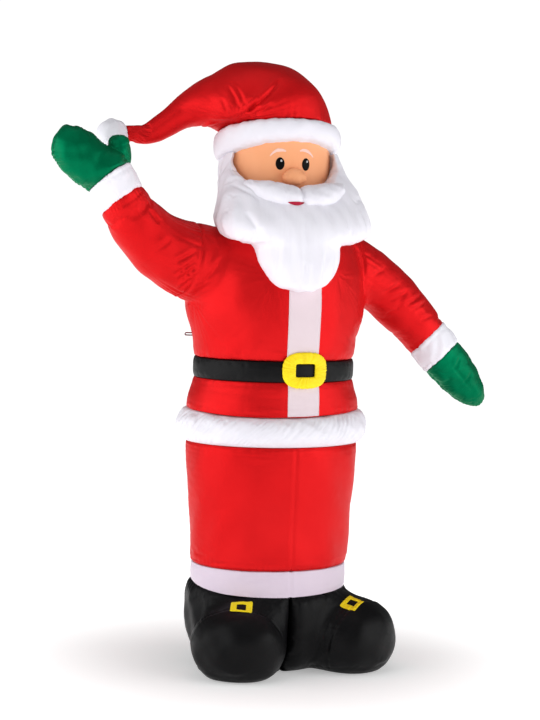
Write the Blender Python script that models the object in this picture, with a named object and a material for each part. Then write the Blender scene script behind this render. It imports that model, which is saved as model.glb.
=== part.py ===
"""Inflatable garden santa, standing and waving, about 2.4 m tall.

Metres, +Z up. The figure faces -Y, its raised right hand is at -X and its
lowered left hand at +X. Each sewn, air-filled section is one closed solid, and
neighbouring sections meet face to face with a small gap.
"""
import math

import bmesh
import bpy
from mathutils import Vector

# Gap between sections that touch
GAP = 0.0003

# Heights of the sections, stacked from the ground to the crown of the head
BOOT_HEIGHT = 0.320
TROUSER_CUFF_HEIGHT = 0.094
TROUSER_HEIGHT = 0.485
HEM_HEIGHT = 0.130
SKIRT_HEIGHT = 0.121
BELT_WIDTH = 0.080
COAT_HEIGHT = 0.550
HEAD_HEIGHT = 0.232
HAT_TRIM_HEIGHT = 0.115

# Half-width and half-depth of the body at each level
ANKLE = (0.314, 0.272)
KNEE = (0.327, 0.280)
TROUSER_TOP = (0.345, 0.290)
HEM_SEAM = (0.352, 0.292)
HEM_SWELL = 0.035
WAIST = (0.322, 0.278)
BELT = (0.324, 0.285)
CHEST = (0.366, 0.290)
NECK_RADIUS = 0.190
HEAD_RADIUS = 0.212
HAT_TRIM_RADIUS = 0.249
HAT_RADIUS = 0.214
HEM_GATHERS = 14
HEM_GATHER_DEPTH = 0.006
HEM_GATHER_SLANT = 2.2

# Turn of the head towards the raised arm, and the slopes of the hat's trim
HEAD_TURN = math.radians(6.5)
HEAD_SHIFT = -0.012
TRIM_SIDE_SLOPE = 0.08
TRIM_FRONT_SLOPE = 0.20

# White strip down the coat's front, and the buckle on the belt
STRIPE_HALF_WIDTH = 0.060
STRIPE_THICKNESS = 0.006
STRIPE_SEAT = 0.012
BUCKLE_WIDTH = 0.186
BUCKLE_HEIGHT = 0.143
BUCKLE_THICKNESS = 0.016
BUCKLE_HOLE_WIDTH = 0.076
BUCKLE_HOLE_HEIGHT = 0.047

# Arms: the sleeves' shoulder height, cuffs and mittens
SHOULDER_LEVEL = 1.575
SLEEVE_CUFF_LENGTH = 0.094
SLEEVE_CUFF_RADIUS = 0.095
MITTEN_LENGTH = 0.262
MITTEN_THICKNESS = 0.145
THUMB_RADIUS = 0.038
THUMB_REACH = 0.098
THUMB_ROOT_UP = 0.012
THUMB_ROOT_OUT = 0.040

# Boots: the right toe points more to the front than the left
TOE_WIDTH = 0.366
INSTEP_HEIGHT = 0.286
TOE_FORWARD = 0.187
RIGHT_TOE_APART = 0.204
LEFT_TOE_APART = 0.266
TOE_SPLAY = math.radians(28.0)
TOE_MIDDLE = 0.130
SOLE_ROUND = 0.080
BOOT_FLARE = 0.012
BOOT_BUCKLE_WIDTH = 0.100
BOOT_BUCKLE_LENGTH = 0.082
BOOT_BUCKLE_HOLE = 0.042
BOOT_BUCKLE_THICKNESS = 0.014
BOOT_BUCKLE_REACH = 0.066
BOOT_BUCKLE_INSET = 0.018
BOOT_BUCKLE_SLOPE = math.radians(20.0)
BOOT_BUCKLE_ROOT = 0.030

# Beard, moustache and nose
BEARD_DROP = 0.274
BEARD_WIDTH = 0.640
MOUSTACHE_WIDTH = 0.426
MOUSTACHE_HEIGHT = 0.090
MOUSTACHE_DROP = 0.146
NOSE_WIDTH = 0.092
NOSE_HEIGHT = 0.064
NOSE_DEPTH = 0.070
NOSE_OUT = 0.012
NOSE_DROP = 0.074
FACE_HALF_WIDTH = 0.204
FACE_FRONT_HALF_WIDTH = 0.400
FACE_HALF_HEIGHT = 0.128
FACE_DROP = 0.018
FACE_BAR_FRONT = -0.600
FACE_BAR_BACK = -0.030

# Hat bag, and the webbing loops that tether the figure
HAT_BAG_RADIUS = 0.053
TETHER_WIDTH = 0.025
TETHER_REACH = 0.032
TETHER_HEIGHT = 0.013
TETHER_WEBBING = 0.0022
TETHER_ROOT = 0.015
TETHER_ANGLE = math.radians(115.0)
TETHER_LEVEL = 1.313

# Facets round the body, the limbs and the small pieces
BODY_SEGMENTS = 26
LIMB_SEGMENTS = 16
BEARD_SEGMENTS = 26
HAT_SEGMENTS = 18
FOOT_SEGMENTS = 18

# Levels worked out from the stack above
CUFF_BASE = BOOT_HEIGHT
TROUSER_BASE = CUFF_BASE + TROUSER_CUFF_HEIGHT
HEM_BASE = TROUSER_BASE + TROUSER_HEIGHT
SKIRT_BASE = HEM_BASE + HEM_HEIGHT
BELT_BASE = SKIRT_BASE + SKIRT_HEIGHT
COAT_BASE = BELT_BASE + BELT_WIDTH
HEAD_BASE = COAT_BASE + COAT_HEIGHT
TRIM_BASE = HEAD_BASE + HEAD_HEIGHT
HAT_BASE = TRIM_BASE + HAT_TRIM_HEIGHT

# Colours: red, white, black, green, yellow, skin and dark red
COLOURS = {
    "red": ((0.80, 0.012, 0.016), 0.50),
    "white": ((0.80, 0.80, 0.84), 0.60),
    "black": ((0.012, 0.012, 0.013), 0.45),
    "green": ((0.0, 0.155, 0.045), 0.50),
    "yellow": ((0.92, 0.74, 0.02), 0.55),
    "skin": ((0.93, 0.48, 0.23), 0.55),
    "dark_red": ((0.25, 0.01, 0.02), 0.70),
}


def clear_scene():
    for item in list(bpy.data.objects):
        bpy.data.objects.remove(item, do_unlink=True)


def make_material(name):
    colour, roughness = COLOURS[name]
    material = bpy.data.materials.new(name)
    material.use_nodes = True
    shader = material.node_tree.nodes["Principled BSDF"]
    shader.inputs["Base Color"].default_value = (*colour, 1.0)
    shader.inputs["Roughness"].default_value = roughness
    shader.inputs["Metallic"].default_value = 0.0
    material.diffuse_color = (*colour, 1.0)
    return material


def along(stations, t):
    """Values at t on a smooth curve through (t, value, ...) stations that never overshoots."""
    if t <= stations[0][0]:
        return stations[0][1:]
    if t >= stations[-1][0]:
        return stations[-1][1:]
    last = len(stations) - 1
    k = max(i for i in range(last) if stations[i][0] <= t)
    step = stations[k + 1][0] - stations[k][0]
    s = (t - stations[k][0]) / step

    def rise(i, c):
        return (stations[i + 1][c] - stations[i][c]) / (stations[i + 1][0] - stations[i][0])

    def slope(i, c):
        if i == 0:
            return rise(0, c)
        if i == last:
            return rise(last - 1, c)
        before = rise(i - 1, c)
        after = rise(i, c)
        return 0.0 if before * after <= 0 else 2 * before * after / (before + after)

    values = []
    for c in range(1, len(stations[0])):
        a = stations[k][c]
        b = stations[k + 1][c]
        ma = slope(k, c) * step
        mb = slope(k + 1, c) * step
        values.append((2 * s**3 - 3 * s**2 + 1) * a + (s**3 - 2 * s**2 + s) * ma
                      + (3 * s**2 - 2 * s**3) * b + (s**3 - s**2) * mb)
    return tuple(values)


def add_object(name, vertices, faces, material):
    """One closed mesh object, its faces turned outwards."""
    mesh = bpy.data.meshes.new(name)
    mesh.from_pydata([tuple(v) for v in vertices], [], faces)
    edit = bmesh.new()
    edit.from_mesh(mesh)
    bmesh.ops.recalc_face_normals(edit, faces=edit.faces)
    edit.to_mesh(mesh)
    edit.free()
    mesh.materials.append(material)
    mesh.shade_smooth()
    mesh.set_sharp_from_angle(angle=math.radians(40))
    item = bpy.data.objects.new(name, mesh)
    bpy.context.scene.collection.objects.link(item)
    return item


def loft(name, rings, material, start_tip=None, end_tip=None):
    """A closed solid through rings of equal count, its ends flat or drawn to a tip.

    Its facets are split the same way in a piece and in the cutter made for it.
    """
    count = len(rings[0])
    vertices = [point for ring in rings for point in ring]
    faces = []
    for k in range(len(rings) - 1):
        for i in range(count):
            j = (i + 1) % count
            faces.append((k * count + i, k * count + j, (k + 1) * count + j))
            faces.append((k * count + i, (k + 1) * count + j, (k + 1) * count + i))
    for base, tip in ((0, start_tip), ((len(rings) - 1) * count, end_tip)):
        if tip is None:
            faces.append(tuple(base + i for i in range(count)))
        else:
            vertices.append(tip)
            for i in range(count):
                faces.append((base + i, base + (i + 1) % count, len(vertices) - 1))
    return add_object(name, vertices, faces, material)


def as_cutter(item):
    item.hide_render = True
    item.display_type = "WIRE"
    return item


def combine(item, operation, *others, solver="EXACT"):
    for other in others:
        step = item.modifiers.new(operation.lower(), "BOOLEAN")
        step.operation = operation
        step.solver = solver
        step.object = other
    return item


def box(name, low, high, material):
    xs, ys, zs = zip(low, high)
    corners = [Vector((x, y, z)) for z in zs for x, y in
               ((xs[0], ys[0]), (xs[1], ys[0]), (xs[1], ys[1]), (xs[0], ys[1]))]
    return loft(name, [corners[:4], corners[4:]], material)


def share_range(count):
    return [k / (count - 1) for k in range(count)]


def body_ring(level, half_width, half_depth, segments=BODY_SEGMENTS, grow=0.0, gathers=0.0, skew=0.0):
    """A ring of the body round the Z axis, its first point at the front."""
    ring = []
    for i in range(segments):
        angle = 2 * math.pi * i / segments
        out = grow
        if gathers:
            out += gathers * math.cos(HEM_GATHERS * angle + skew)
        ring.append(Vector(((half_width + out) * math.sin(angle), -(half_depth + out) * math.cos(angle), level)))
    return ring


def section_rings(base, height, stations, rows, grow=0.0):
    """Rings between two level seams; stations are (share of height, half-width, half-depth)."""
    rings = []
    for share in share_range(rows):
        level = base + share * (height - GAP)
        if share == 0:
            level -= grow
        if share == 1:
            level += grow
        rings.append(body_ring(level, *along(stations, share), grow=grow))
    return rings


def body_section(name, base, height, stations, rows, material, grow=0.0):
    return loft(name, section_rings(base, height, stations, rows, grow), material)


def station(share, size, out=0.0):
    """A station at this share of a section's height, a little outside or inside a named size."""
    return share, size[0] + out, size[1] + out


TROUSER_CUFF_SHAPE = (station(0, ANKLE), station(0.5, ANKLE, 0.007), station(1, ANKLE))
TROUSER_SHAPE = (station(0, ANKLE, -0.002), station(0.08, ANKLE, 0.004), station(0.45, KNEE),
                 station(0.9, TROUSER_TOP, 0.002), station(1, TROUSER_TOP))
SKIRT_SHAPE = (station(0, HEM_SEAM, -0.002), station(0.3, HEM_SEAM, -0.006), station(0.75, WAIST, 0.007),
               station(1, WAIST, -0.001))
BELT_SHAPE = (station(0, BELT, -0.003), station(0.2, BELT), station(0.8, BELT), station(1, BELT, -0.003))
SHOULDER_ROUND = ((0.58, 0.975), (0.71, 0.905), (0.84, 0.79), (0.93, 0.66))
COAT_SHAPE = (station(0, WAIST), station(0.12, WAIST, 0.007), station(0.38, CHEST),
              *((share, CHEST[0] * part, CHEST[1] * part) for share, part in SHOULDER_ROUND),
              (1, NECK_RADIUS, NECK_RADIUS))
COAT_ROWS = 12


def make_trousers(red, white):
    body_section("trouser_cuff", CUFF_BASE, TROUSER_CUFF_HEIGHT, TROUSER_CUFF_SHAPE, 5, white)
    body_section("trousers", TROUSER_BASE, TROUSER_HEIGHT, TROUSER_SHAPE, 6, red)


def make_hem(white):
    """The coat's puffed hem, with slanting gathers that fade towards its seams."""
    rings = []
    for share in share_range(7):
        swell = math.sin(math.pi * share) ** 0.6 if 0 < share < 1 else 0.0
        rings.append(body_ring(HEM_BASE + share * (HEM_HEIGHT - GAP), HEM_SEAM[0] + HEM_SWELL * swell,
                               HEM_SEAM[1] + HEM_SWELL * swell, 4 * HEM_GATHERS,
                               gathers=HEM_GATHER_DEPTH * swell, skew=HEM_GATHER_SLANT * share))
    loft("coat_hem", rings, white)


def stripe(name, base, height, stations, rows, first_share, last_share, material, grow=0.0):
    """A strip down the coat's front that follows the coat's own facets."""
    rings = []
    turn = STRIPE_HALF_WIDTH / WAIST[0]
    angles = [-turn, -0.5 * turn, 0.0, 0.5 * turn, turn]
    if grow:
        angles[0] -= grow / WAIST[0]
        angles[-1] += grow / WAIST[0]
    for share in share_range(rows):
        place = first_share + share * (last_share - first_share)
        level = base + place * (height - GAP)
        if share == 0:
            level += GAP - grow
        if share == 1:
            level += grow - GAP
        wide, deep = along(stations, place)
        outer = STRIPE_THICKNESS + grow
        inner = -STRIPE_SEAT - grow
        ring = [Vector(((wide + outer) * math.sin(a), -(deep + outer) * math.cos(a), level)) for a in angles]
        ring += [Vector(((wide + inner) * math.sin(a), -(deep + inner) * math.cos(a), level))
                 for a in reversed(angles)]
        rings.append(ring)
    return loft(name, rings, material)


def frame_plate(name, width, height, hole_width, hole_height, place, thickness, material):
    """A plate with clipped corners and a square hole; place maps (across, up, out) to space."""
    half_w = width / 2
    half_h = height / 2
    clip = 0.22 * height
    outer = [(-half_w + clip, -half_h), (0, -half_h), (half_w - clip, -half_h), (half_w, -half_h + clip),
             (half_w, 0), (half_w, half_h - clip), (half_w - clip, half_h), (0, half_h),
             (-half_w + clip, half_h), (-half_w, half_h - clip), (-half_w, 0), (-half_w, -half_h + clip)]
    hw = hole_width / 2
    hh = hole_height / 2
    inner = [(-hw, -hh), (0, -hh), (hw, -hh), (hw, -hh * 0.6), (hw, 0), (hw, hh * 0.6),
             (hw, hh), (0, hh), (-hw, hh), (-hw, hh * 0.6), (-hw, 0), (-hw, -hh * 0.6)]
    edge = [(x * 0.97, y * 0.96) for x, y in outer]
    loops = [[place(x, y, 0.0) for x, y in outer],
             [place(x, y, 0.6 * thickness) for x, y in outer],
             [place(x, y, thickness) for x, y in edge],
             [place((a + c) / 2, (b + d) / 2, thickness) for (a, b), (c, d) in zip(edge, inner)],
             [place(x, y, 0.9 * thickness) for x, y in inner],
             [place(x, y, 0.0) for x, y in inner]]
    count = len(outer)
    vertices = [p for ring in loops for p in ring]
    faces = []
    for k in range(len(loops)):
        following = (k + 1) % len(loops)
        for i in range(count):
            j = (i + 1) % count
            faces.append((k * count + i, k * count + j, following * count + j, following * count + i))
    return add_object(name, vertices, faces, material)


def make_coat(red, white, black, yellow):
    body_section("coat_skirt", SKIRT_BASE, SKIRT_HEIGHT, SKIRT_SHAPE, 5, red)
    body_section("belt", BELT_BASE, BELT_WIDTH, BELT_SHAPE, 5, black)
    body_section("coat_body", COAT_BASE, COAT_HEIGHT, COAT_SHAPE, COAT_ROWS, red)
    skirt_space = as_cutter(body_section("skirt_space", SKIRT_BASE, SKIRT_HEIGHT, SKIRT_SHAPE, 5, red, GAP))
    belt_space = as_cutter(body_section("belt_space", BELT_BASE, BELT_WIDTH, BELT_SHAPE, 5, black, GAP))
    coat_space = as_cutter(body_section("coat_space", COAT_BASE, COAT_HEIGHT, COAT_SHAPE, COAT_ROWS, red, GAP))
    lower = stripe("coat_stripe_lower", SKIRT_BASE, SKIRT_HEIGHT, SKIRT_SHAPE, 5, 0.0, 1.0, white)
    upper = stripe("coat_stripe_upper", COAT_BASE, COAT_HEIGHT, COAT_SHAPE, 9, 0.0, 0.62, white)
    combine(lower, "DIFFERENCE", skirt_space)
    combine(upper, "DIFFERENCE", coat_space)
    lower_space = as_cutter(stripe("lower_stripe_space", SKIRT_BASE, SKIRT_HEIGHT, SKIRT_SHAPE, 5,
                                   0.0, 1.0, white, GAP))
    upper_space = as_cutter(stripe("upper_stripe_space", COAT_BASE, COAT_HEIGHT, COAT_SHAPE, 9,
                                   0.0, 0.62, white, GAP))

    def on_belt(across, up, out):
        lift = -STRIPE_SEAT if out == 0.0 else out
        angle = across / BELT[0]
        level = BELT_BASE + BELT_WIDTH / 2 + up
        return Vector(((BELT[0] + lift) * math.sin(angle), -(BELT[1] + lift) * math.cos(angle), level))

    buckle = frame_plate("belt_buckle", BUCKLE_WIDTH, BUCKLE_HEIGHT, BUCKLE_HOLE_WIDTH, BUCKLE_HOLE_HEIGHT,
                         on_belt, BUCKLE_THICKNESS, yellow)
    combine(buckle, "DIFFERENCE", belt_space, skirt_space, coat_space, lower_space, upper_space,
            solver="MANIFOLD")
    return upper_space


def limb_ring(centre, direction, half_width, half_depth, segments=LIMB_SEGMENTS):
    """A ring square to the limb, its width in the X-Z plane and its depth along Y."""
    wide = Vector((direction.z, 0.0, -direction.x)).normalized()
    deep = direction.cross(wide).normalized()
    ring = []
    for i in range(segments):
        angle = 2 * math.pi * i / segments
        ring.append(centre + wide * (half_width * math.cos(angle)) + deep * (half_depth * math.sin(angle)))
    return ring


def sleeve_path(stations, t):
    """Point and direction on a sleeve's centre line; stations are (t, x, y, z, radius)."""
    step = 0.004
    here = Vector(along(stations, t)[:3])
    before = Vector(along(stations, max(t - step, 0.0))[:3])
    after = Vector(along(stations, min(t + step, 1.0))[:3])
    return here, (after - before).normalized()


def make_sleeve(name, stations, rows, material, *spaces):
    rings = []
    for t in share_range(rows):
        centre, direction = sleeve_path(stations, t)
        radius = along(stations, t)[3]
        rings.append(limb_ring(centre, direction, radius, radius))
    sleeve = loft(name, rings, material)
    combine(sleeve, "DIFFERENCE", *spaces, solver="MANIFOLD")
    return sleeve_path(stations, 1.0)


def make_sleeve_cuff(name, start, direction, material):
    rings = []
    for share in share_range(5):
        radius = SLEEVE_CUFF_RADIUS * (0.965 + 0.035 * math.sin(math.pi * share) ** 0.5 if 0 < share < 1
                                       else 0.965)
        centre = start + direction * (GAP + share * (SLEEVE_CUFF_LENGTH - GAP))
        rings.append(limb_ring(centre, direction, radius, radius))
    loft(name, rings, material)
    return start + direction * (SLEEVE_CUFF_LENGTH + GAP)


# Palm stations: share of the mitten's length, half-width, sideways shift and half-thickness,
# the last three as shares of the cuff's radius or the mitten's thickness
RIGHT_PALM = ((0.0, 0.94, 0.0, 0.60), (0.12, 0.99, -0.02, 0.60), (0.38, 0.99, -0.14, 0.52),
              (0.6, 0.99, -0.15, 0.50), (0.76, 0.89, -0.14, 0.46), (0.88, 0.70, -0.12, 0.36),
              (0.96, 0.44, -0.09, 0.23), (1.0, 0.20, -0.06, 0.10))
LEFT_PALM = ((0.0, 0.94, 0.0, 0.60), (0.2, 0.92, -0.01, 0.60), (0.4, 0.87, -0.01, 0.55),
             (0.62, 0.74, 0.0, 0.48), (0.8, 0.58, 0.0, 0.40), (0.92, 0.40, 0.0, 0.28),
             (0.98, 0.22, 0.0, 0.15), (1.0, 0.10, 0.0, 0.07))


def make_palm(name, start, direction, hand, palm, material):
    """The mitten's hand: leaves square to the cuff, bends to the hand's line and ends round."""
    def middle(share):
        bend = share * (1 - share) ** 2
        return start + (hand * share + (direction - hand) * bend) * MITTEN_LENGTH

    rings = []
    for share in (0.0, 0.1, 0.25, 0.42, 0.6, 0.74, 0.85, 0.93, 0.98):
        half_width, shift, half_depth = along(palm, share)
        if share > 0.95:
            half_width *= 0.92
        aim = direction if share == 0 else (middle(share + 0.01) - middle(share - 0.01)).normalized()
        side = Vector((aim.z, 0.0, -aim.x)).normalized()
        centre = middle(share) + side * (shift * SLEEVE_CUFF_RADIUS)
        round_share = max(0.0, 1.0 - share / 0.3)
        depth = half_depth * MITTEN_THICKNESS * (1 - round_share) + 0.94 * SLEEVE_CUFF_RADIUS * round_share
        rings.append(limb_ring(centre, aim, half_width * SLEEVE_CUFF_RADIUS, depth))
    side = Vector((hand.z, 0.0, -hand.x)).normalized()
    tip = middle(1.0) + side * (along(palm, 1.0)[1] * SLEEVE_CUFF_RADIUS)
    return loft(name, rings, material, end_tip=tip)


def make_thumb(start, direction, side, material):
    """The raised hand's thumb, rooted in the palm and rounded at its end."""
    root = start + direction * THUMB_ROOT_UP + side * THUMB_ROOT_OUT
    aim = (direction * 0.66 + side * 0.75).normalized()
    rings = []
    for share, width in ((0.0, 0.90), (0.3, 1.10), (0.55, 1.04), (0.72, 0.96), (0.85, 0.80),
                         (0.94, 0.54), (0.985, 0.28)):
        rings.append(limb_ring(root + aim * (share * THUMB_REACH), aim, THUMB_RADIUS * width,
                               THUMB_RADIUS * width * 1.15, 12))
    return as_cutter(loft("thumb_form", rings, material, end_tip=root + aim * THUMB_REACH))


def make_arms(red, white, green, *spaces):
    right = ((0.0, -0.18, 0.0, 0.0, 0.150), (0.25, -0.330, 0.0, 0.022, 0.151), (0.43, -0.458, -0.015, 0.062, 0.134),
             (0.62, -0.557, -0.030, 0.125, 0.117), (0.78, -0.628, -0.045, 0.188, 0.104),
             (0.90, -0.661, -0.052, 0.228, 0.096), (1.0, -0.684, -0.058, 0.262, 0.091))
    left = ((0.0, 0.20, 0.0, 0.075, 0.120), (0.25, 0.350, 0.0, 0.010, 0.117), (0.45, 0.470, 0.0, -0.062, 0.110),
            (0.62, 0.557, -0.005, -0.137, 0.106), (0.80, 0.623, -0.012, -0.200, 0.098),
            (1.0, 0.690, -0.020, -0.274, 0.091))
    right = tuple((t, x, y, SHOULDER_LEVEL + rise, radius) for t, x, y, rise, radius in right)
    left = tuple((t, x, y, SHOULDER_LEVEL + rise, radius) for t, x, y, rise, radius in left)
    start, direction = make_sleeve("sleeve_right", right, 12, red, *spaces)
    wrist = make_sleeve_cuff("cuff_right", start, direction, white)
    hand = Vector((-0.773, -0.04, 0.634)).normalized()
    side = Vector((hand.z, 0.0, -hand.x)).normalized()
    palm = make_palm("mitten_right", wrist, direction, hand, RIGHT_PALM, green)
    combine(palm, "UNION", make_thumb(wrist, hand, side, green))
    start, direction = make_sleeve("sleeve_left", left, 10, red, *spaces)
    wrist = make_sleeve_cuff("cuff_left", start, direction, white)
    make_palm("mitten_left", wrist, direction, direction, LEFT_PALM, green)


def head_point(x, y, z):
    """A point of the head's own frame, turned with the head."""
    c = math.cos(HEAD_TURN)
    s = math.sin(HEAD_TURN)
    return Vector((x * c + y * s + HEAD_SHIFT, y * c - x * s, z))


def head_ring(radius, level, side_slope, front_slope):
    ring = []
    for i in range(BODY_SEGMENTS):
        angle = 2 * math.pi * i / BODY_SEGMENTS
        x = radius * math.sin(angle)
        y = -radius * math.cos(angle)
        ring.append(head_point(x, y, level + side_slope * x - front_slope * y))
    return ring


HEAD_SHAPE = ((0, NECK_RADIUS), (0.15, NECK_RADIUS + 0.010), (0.45, HEAD_RADIUS),
              (0.8, HEAD_RADIUS), (1, HEAD_RADIUS - 0.004))


def head_rings(grow=0.0):
    rings = []
    for share in share_range(8):
        level = HEAD_BASE + share * (HEAD_HEIGHT - GAP)
        if share == 0:
            level -= grow
        if share == 1:
            level += grow
        rings.append(head_ring(along(HEAD_SHAPE, share)[0] + grow, level,
                               TRIM_SIDE_SLOPE * share, TRIM_FRONT_SLOPE * share))
    return rings


def trim_solid(name, material):
    rings = []
    seam = HAT_RADIUS - 0.004
    for share in share_range(7):
        swell = math.sin(math.pi * share) ** 0.5 if 0 < share < 1 else 0.0
        level = TRIM_BASE + share * (HAT_TRIM_HEIGHT - GAP)
        rings.append(head_ring(seam + (HAT_TRIM_RADIUS - seam) * swell, level,
                               TRIM_SIDE_SLOPE, TRIM_FRONT_SLOPE))
    return loft(name, rings, material)


# Hat stations: share of its length, then x, y and height above the trim, radius,
# and the lean of the section in degrees; all as the cap folds over to the right
HAT_FOLD = (
    (0.00, -0.004, 0.000, 0.000, HAT_RADIUS, math.degrees(math.atan(TRIM_SIDE_SLOPE))),
    (0.10, -0.058, 0.000, 0.064, 0.210, 18.0),
    (0.19, -0.103, 0.000, 0.104, 0.197, 30.0),
    (0.28, -0.169, 0.000, 0.128, 0.170, 45.0),
    (0.36, -0.237, 0.005, 0.128, 0.139, 61.0),
    (0.44, -0.302, 0.020, 0.105, 0.105, 78.0),
    (0.52, -0.347, 0.032, 0.082, 0.084, 90.0),
    (0.60, -0.395, 0.045, 0.046, 0.062, 106.0),
    (0.68, -0.445, 0.055, 0.006, 0.049, 117.0),
    (0.78, -0.487, 0.065, -0.020, 0.043, 116.0),
    (0.88, -0.530, 0.075, -0.032, 0.038, 106.0),
    (1.00, -0.592, 0.085, -0.035, 0.032, 98.0),
)


def make_hat(red, white):
    rings = []
    for share in share_range(18):
        x, y, rise, radius, lean = along(HAT_FOLD, share)
        lean = math.radians(lean)
        fade = max(0.0, 1.0 - share / 0.28)
        across = Vector((math.cos(lean), 0.0, math.sin(lean)))
        deep = Vector((0.0, 1.0, -TRIM_FRONT_SLOPE * fade))
        ring = []
        for i in range(HAT_SEGMENTS):
            angle = 2 * math.pi * i / HAT_SEGMENTS
            offset = across * (radius * math.cos(angle)) + deep * (radius * math.sin(angle))
            ring.append(head_point(x + offset.x, y + offset.y, HAT_BASE + rise + offset.z))
        rings.append(ring)
    loft("hat", rings, red)
    x, y, rise, radius, lean = along(HAT_FOLD, 1.0)
    lean = math.radians(lean)
    outward = Vector((-math.sin(lean), 0.0, math.cos(lean)))
    across = Vector((math.cos(lean), 0.0, math.sin(lean)))
    deep = Vector((0.0, 1.0, 0.0))
    start = Vector((x, y, HAT_BASE + rise)) + outward * GAP
    rings = []
    opening = math.asin(radius / HAT_BAG_RADIUS)
    middle = HAT_BAG_RADIUS * math.cos(opening)
    for k in range(7):
        turn = opening + (math.pi - opening) * k / 7
        ring = []
        for i in range(14):
            angle = 2 * math.pi * i / 14
            point = start + outward * (middle - HAT_BAG_RADIUS * math.cos(turn))
            point += (across * math.cos(angle) + deep * math.sin(angle)) * (HAT_BAG_RADIUS * math.sin(turn))
            ring.append(head_point(*point))
        rings.append(ring)
    loft("hat_bag", rings, white, end_tip=head_point(*(start + outward * (middle + HAT_BAG_RADIUS))))


# Beard stations: height as a share from its lower tip (0) to the hat's trim (1), half-width as
# a share of the beard's, then the depth of its widest line, its front and its back in metres
BEARD_SHAPE = (
    (0.000, 0.16, -0.300, -0.372, -0.22), (0.035, 0.33, -0.290, -0.384, -0.19),
    (0.110, 0.45, -0.275, -0.392, -0.15), (0.210, 0.535, -0.265, -0.396, -0.12),
    (0.310, 0.57, -0.255, -0.392, -0.08), (0.325, 0.60, -0.250, -0.392, -0.05),
    (0.345, 0.80, -0.242, -0.390, 0.0), (0.390, 0.905, -0.240, -0.386, 0.05),
    (0.480, 0.945, -0.236, -0.376, 0.10), (0.580, 0.940, -0.225, -0.348, 0.19),
    (0.680, 0.905, -0.205, -0.315, 0.232), (0.800, 0.840, -0.140, -0.285, 0.238),
    (0.900, 0.775, -0.080, -0.262, 0.236), (1.000, 0.730, -0.030, -0.250, 0.230),
)
BEARD_ROWS = (0.0, 0.015, 0.045, 0.11, 0.2, 0.31, 0.325, 0.345, 0.37, 0.42, 0.5, 0.58, 0.67, 0.78, 0.89, 1.0)


def beard_solid(name, material, grow=0.0):
    """The full beard with the hair behind it, before the head and shoulders are taken out."""
    bottom = HEAD_BASE - BEARD_DROP
    top = TRIM_BASE - GAP
    rings = []
    for share in BEARD_ROWS:
        width, middle, front, back = along(BEARD_SHAPE, share)
        half = width * BEARD_WIDTH / 2 + grow
        slant = max(0.0, (share - 0.5) / 0.5) ** 1.5
        level = bottom + share * (top - bottom)
        if share == 0:
            level -= grow
        if share == 1:
            level += grow
        ring = []
        for i in range(BEARD_SEGMENTS):
            angle = 2 * math.pi * i / BEARD_SEGMENTS
            depth = (middle - front + grow) if math.cos(angle) > 0 else (back - middle + grow)
            x = half * math.sin(angle)
            y = middle - depth * math.cos(angle)
            ring.append(head_point(x, y, level + slant * (TRIM_SIDE_SLOPE * x - TRIM_FRONT_SLOPE * y)))
        rings.append(ring)
    return loft(name, rings, material)


def face_space(grow=0.0):
    """The oval through which the face shows, as a bar along Y that widens towards the front."""
    middle = TRIM_BASE - FACE_DROP
    rings = []
    for y, wide in ((FACE_BAR_FRONT, FACE_FRONT_HALF_WIDTH), (FACE_BAR_BACK, FACE_HALF_WIDTH)):
        ring = []
        for i in range(28):
            angle = 2 * math.pi * i / 28
            ring.append(head_point((wide + grow) * math.cos(angle), y,
                                   middle + (FACE_HALF_HEIGHT + grow) * math.sin(angle)))
        rings.append(ring)
    return rings


def moustache_solid(name, material):
    """Two puffed lobes that meet under the nose and rise towards their ends."""
    rings = []
    middle = TRIM_BASE - MOUSTACHE_DROP
    for k in range(1, 24):
        side = -math.cos(math.pi * k / 24)
        x = side * MOUSTACHE_WIDTH / 2
        lobe = abs(side)
        height = along(((0.0, 0.30), (0.15, 0.36), (0.45, 0.50), (0.8, 0.34), (0.95, 0.16), (1.0, 0.06)),
                       lobe)[0] * MOUSTACHE_HEIGHT
        level = middle + along(((0.0, 0.0), (0.25, 0.002), (0.6, 0.014), (1.0, 0.040)), lobe)[0]
        front = -along(((0.0, 0.270), (0.2, 0.300), (0.5, 0.298), (0.8, 0.252), (1.0, 0.188)), lobe)[0]
        depth = height * 1.15 + 0.012
        ring = []
        for i in range(12):
            angle = 2 * math.pi * i / 12
            ring.append(head_point(x, front + depth - depth * math.cos(angle),
                                   level + height * math.sin(angle)))
        rings.append(ring)
    return loft(name, rings, material)


def ball(name, centre, half_x, half_y, half_z, material, grow=0.0):
    rings = []
    for k in range(1, 8):
        turn = math.pi * k / 8
        ring = []
        for i in range(14):
            angle = 2 * math.pi * i / 14
            ring.append(head_point(centre[0] + (half_x + grow) * math.sin(turn) * math.cos(angle),
                                   centre[1] + (half_y + grow) * math.sin(turn) * math.sin(angle),
                                   centre[2] - (half_z + grow) * math.cos(turn)))
        rings.append(ring)
    low = head_point(centre[0], centre[1], centre[2] - half_z - grow)
    high = head_point(centre[0], centre[1], centre[2] + half_z + grow)
    return loft(name, rings, material, start_tip=low, end_tip=high)


def torso_space(material):
    """The coat and the head with their gap, in one form, for what rests against them."""
    coat = section_rings(COAT_BASE, COAT_HEIGHT, COAT_SHAPE, COAT_ROWS, GAP)
    neck = NECK_RADIUS + 2 * abs(HEAD_SHIFT)
    seam = body_ring(HEAD_BASE, neck, neck)
    return as_cutter(loft("torso_space", coat[:-1] + [seam] + head_rings(GAP)[1:], material))


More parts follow.
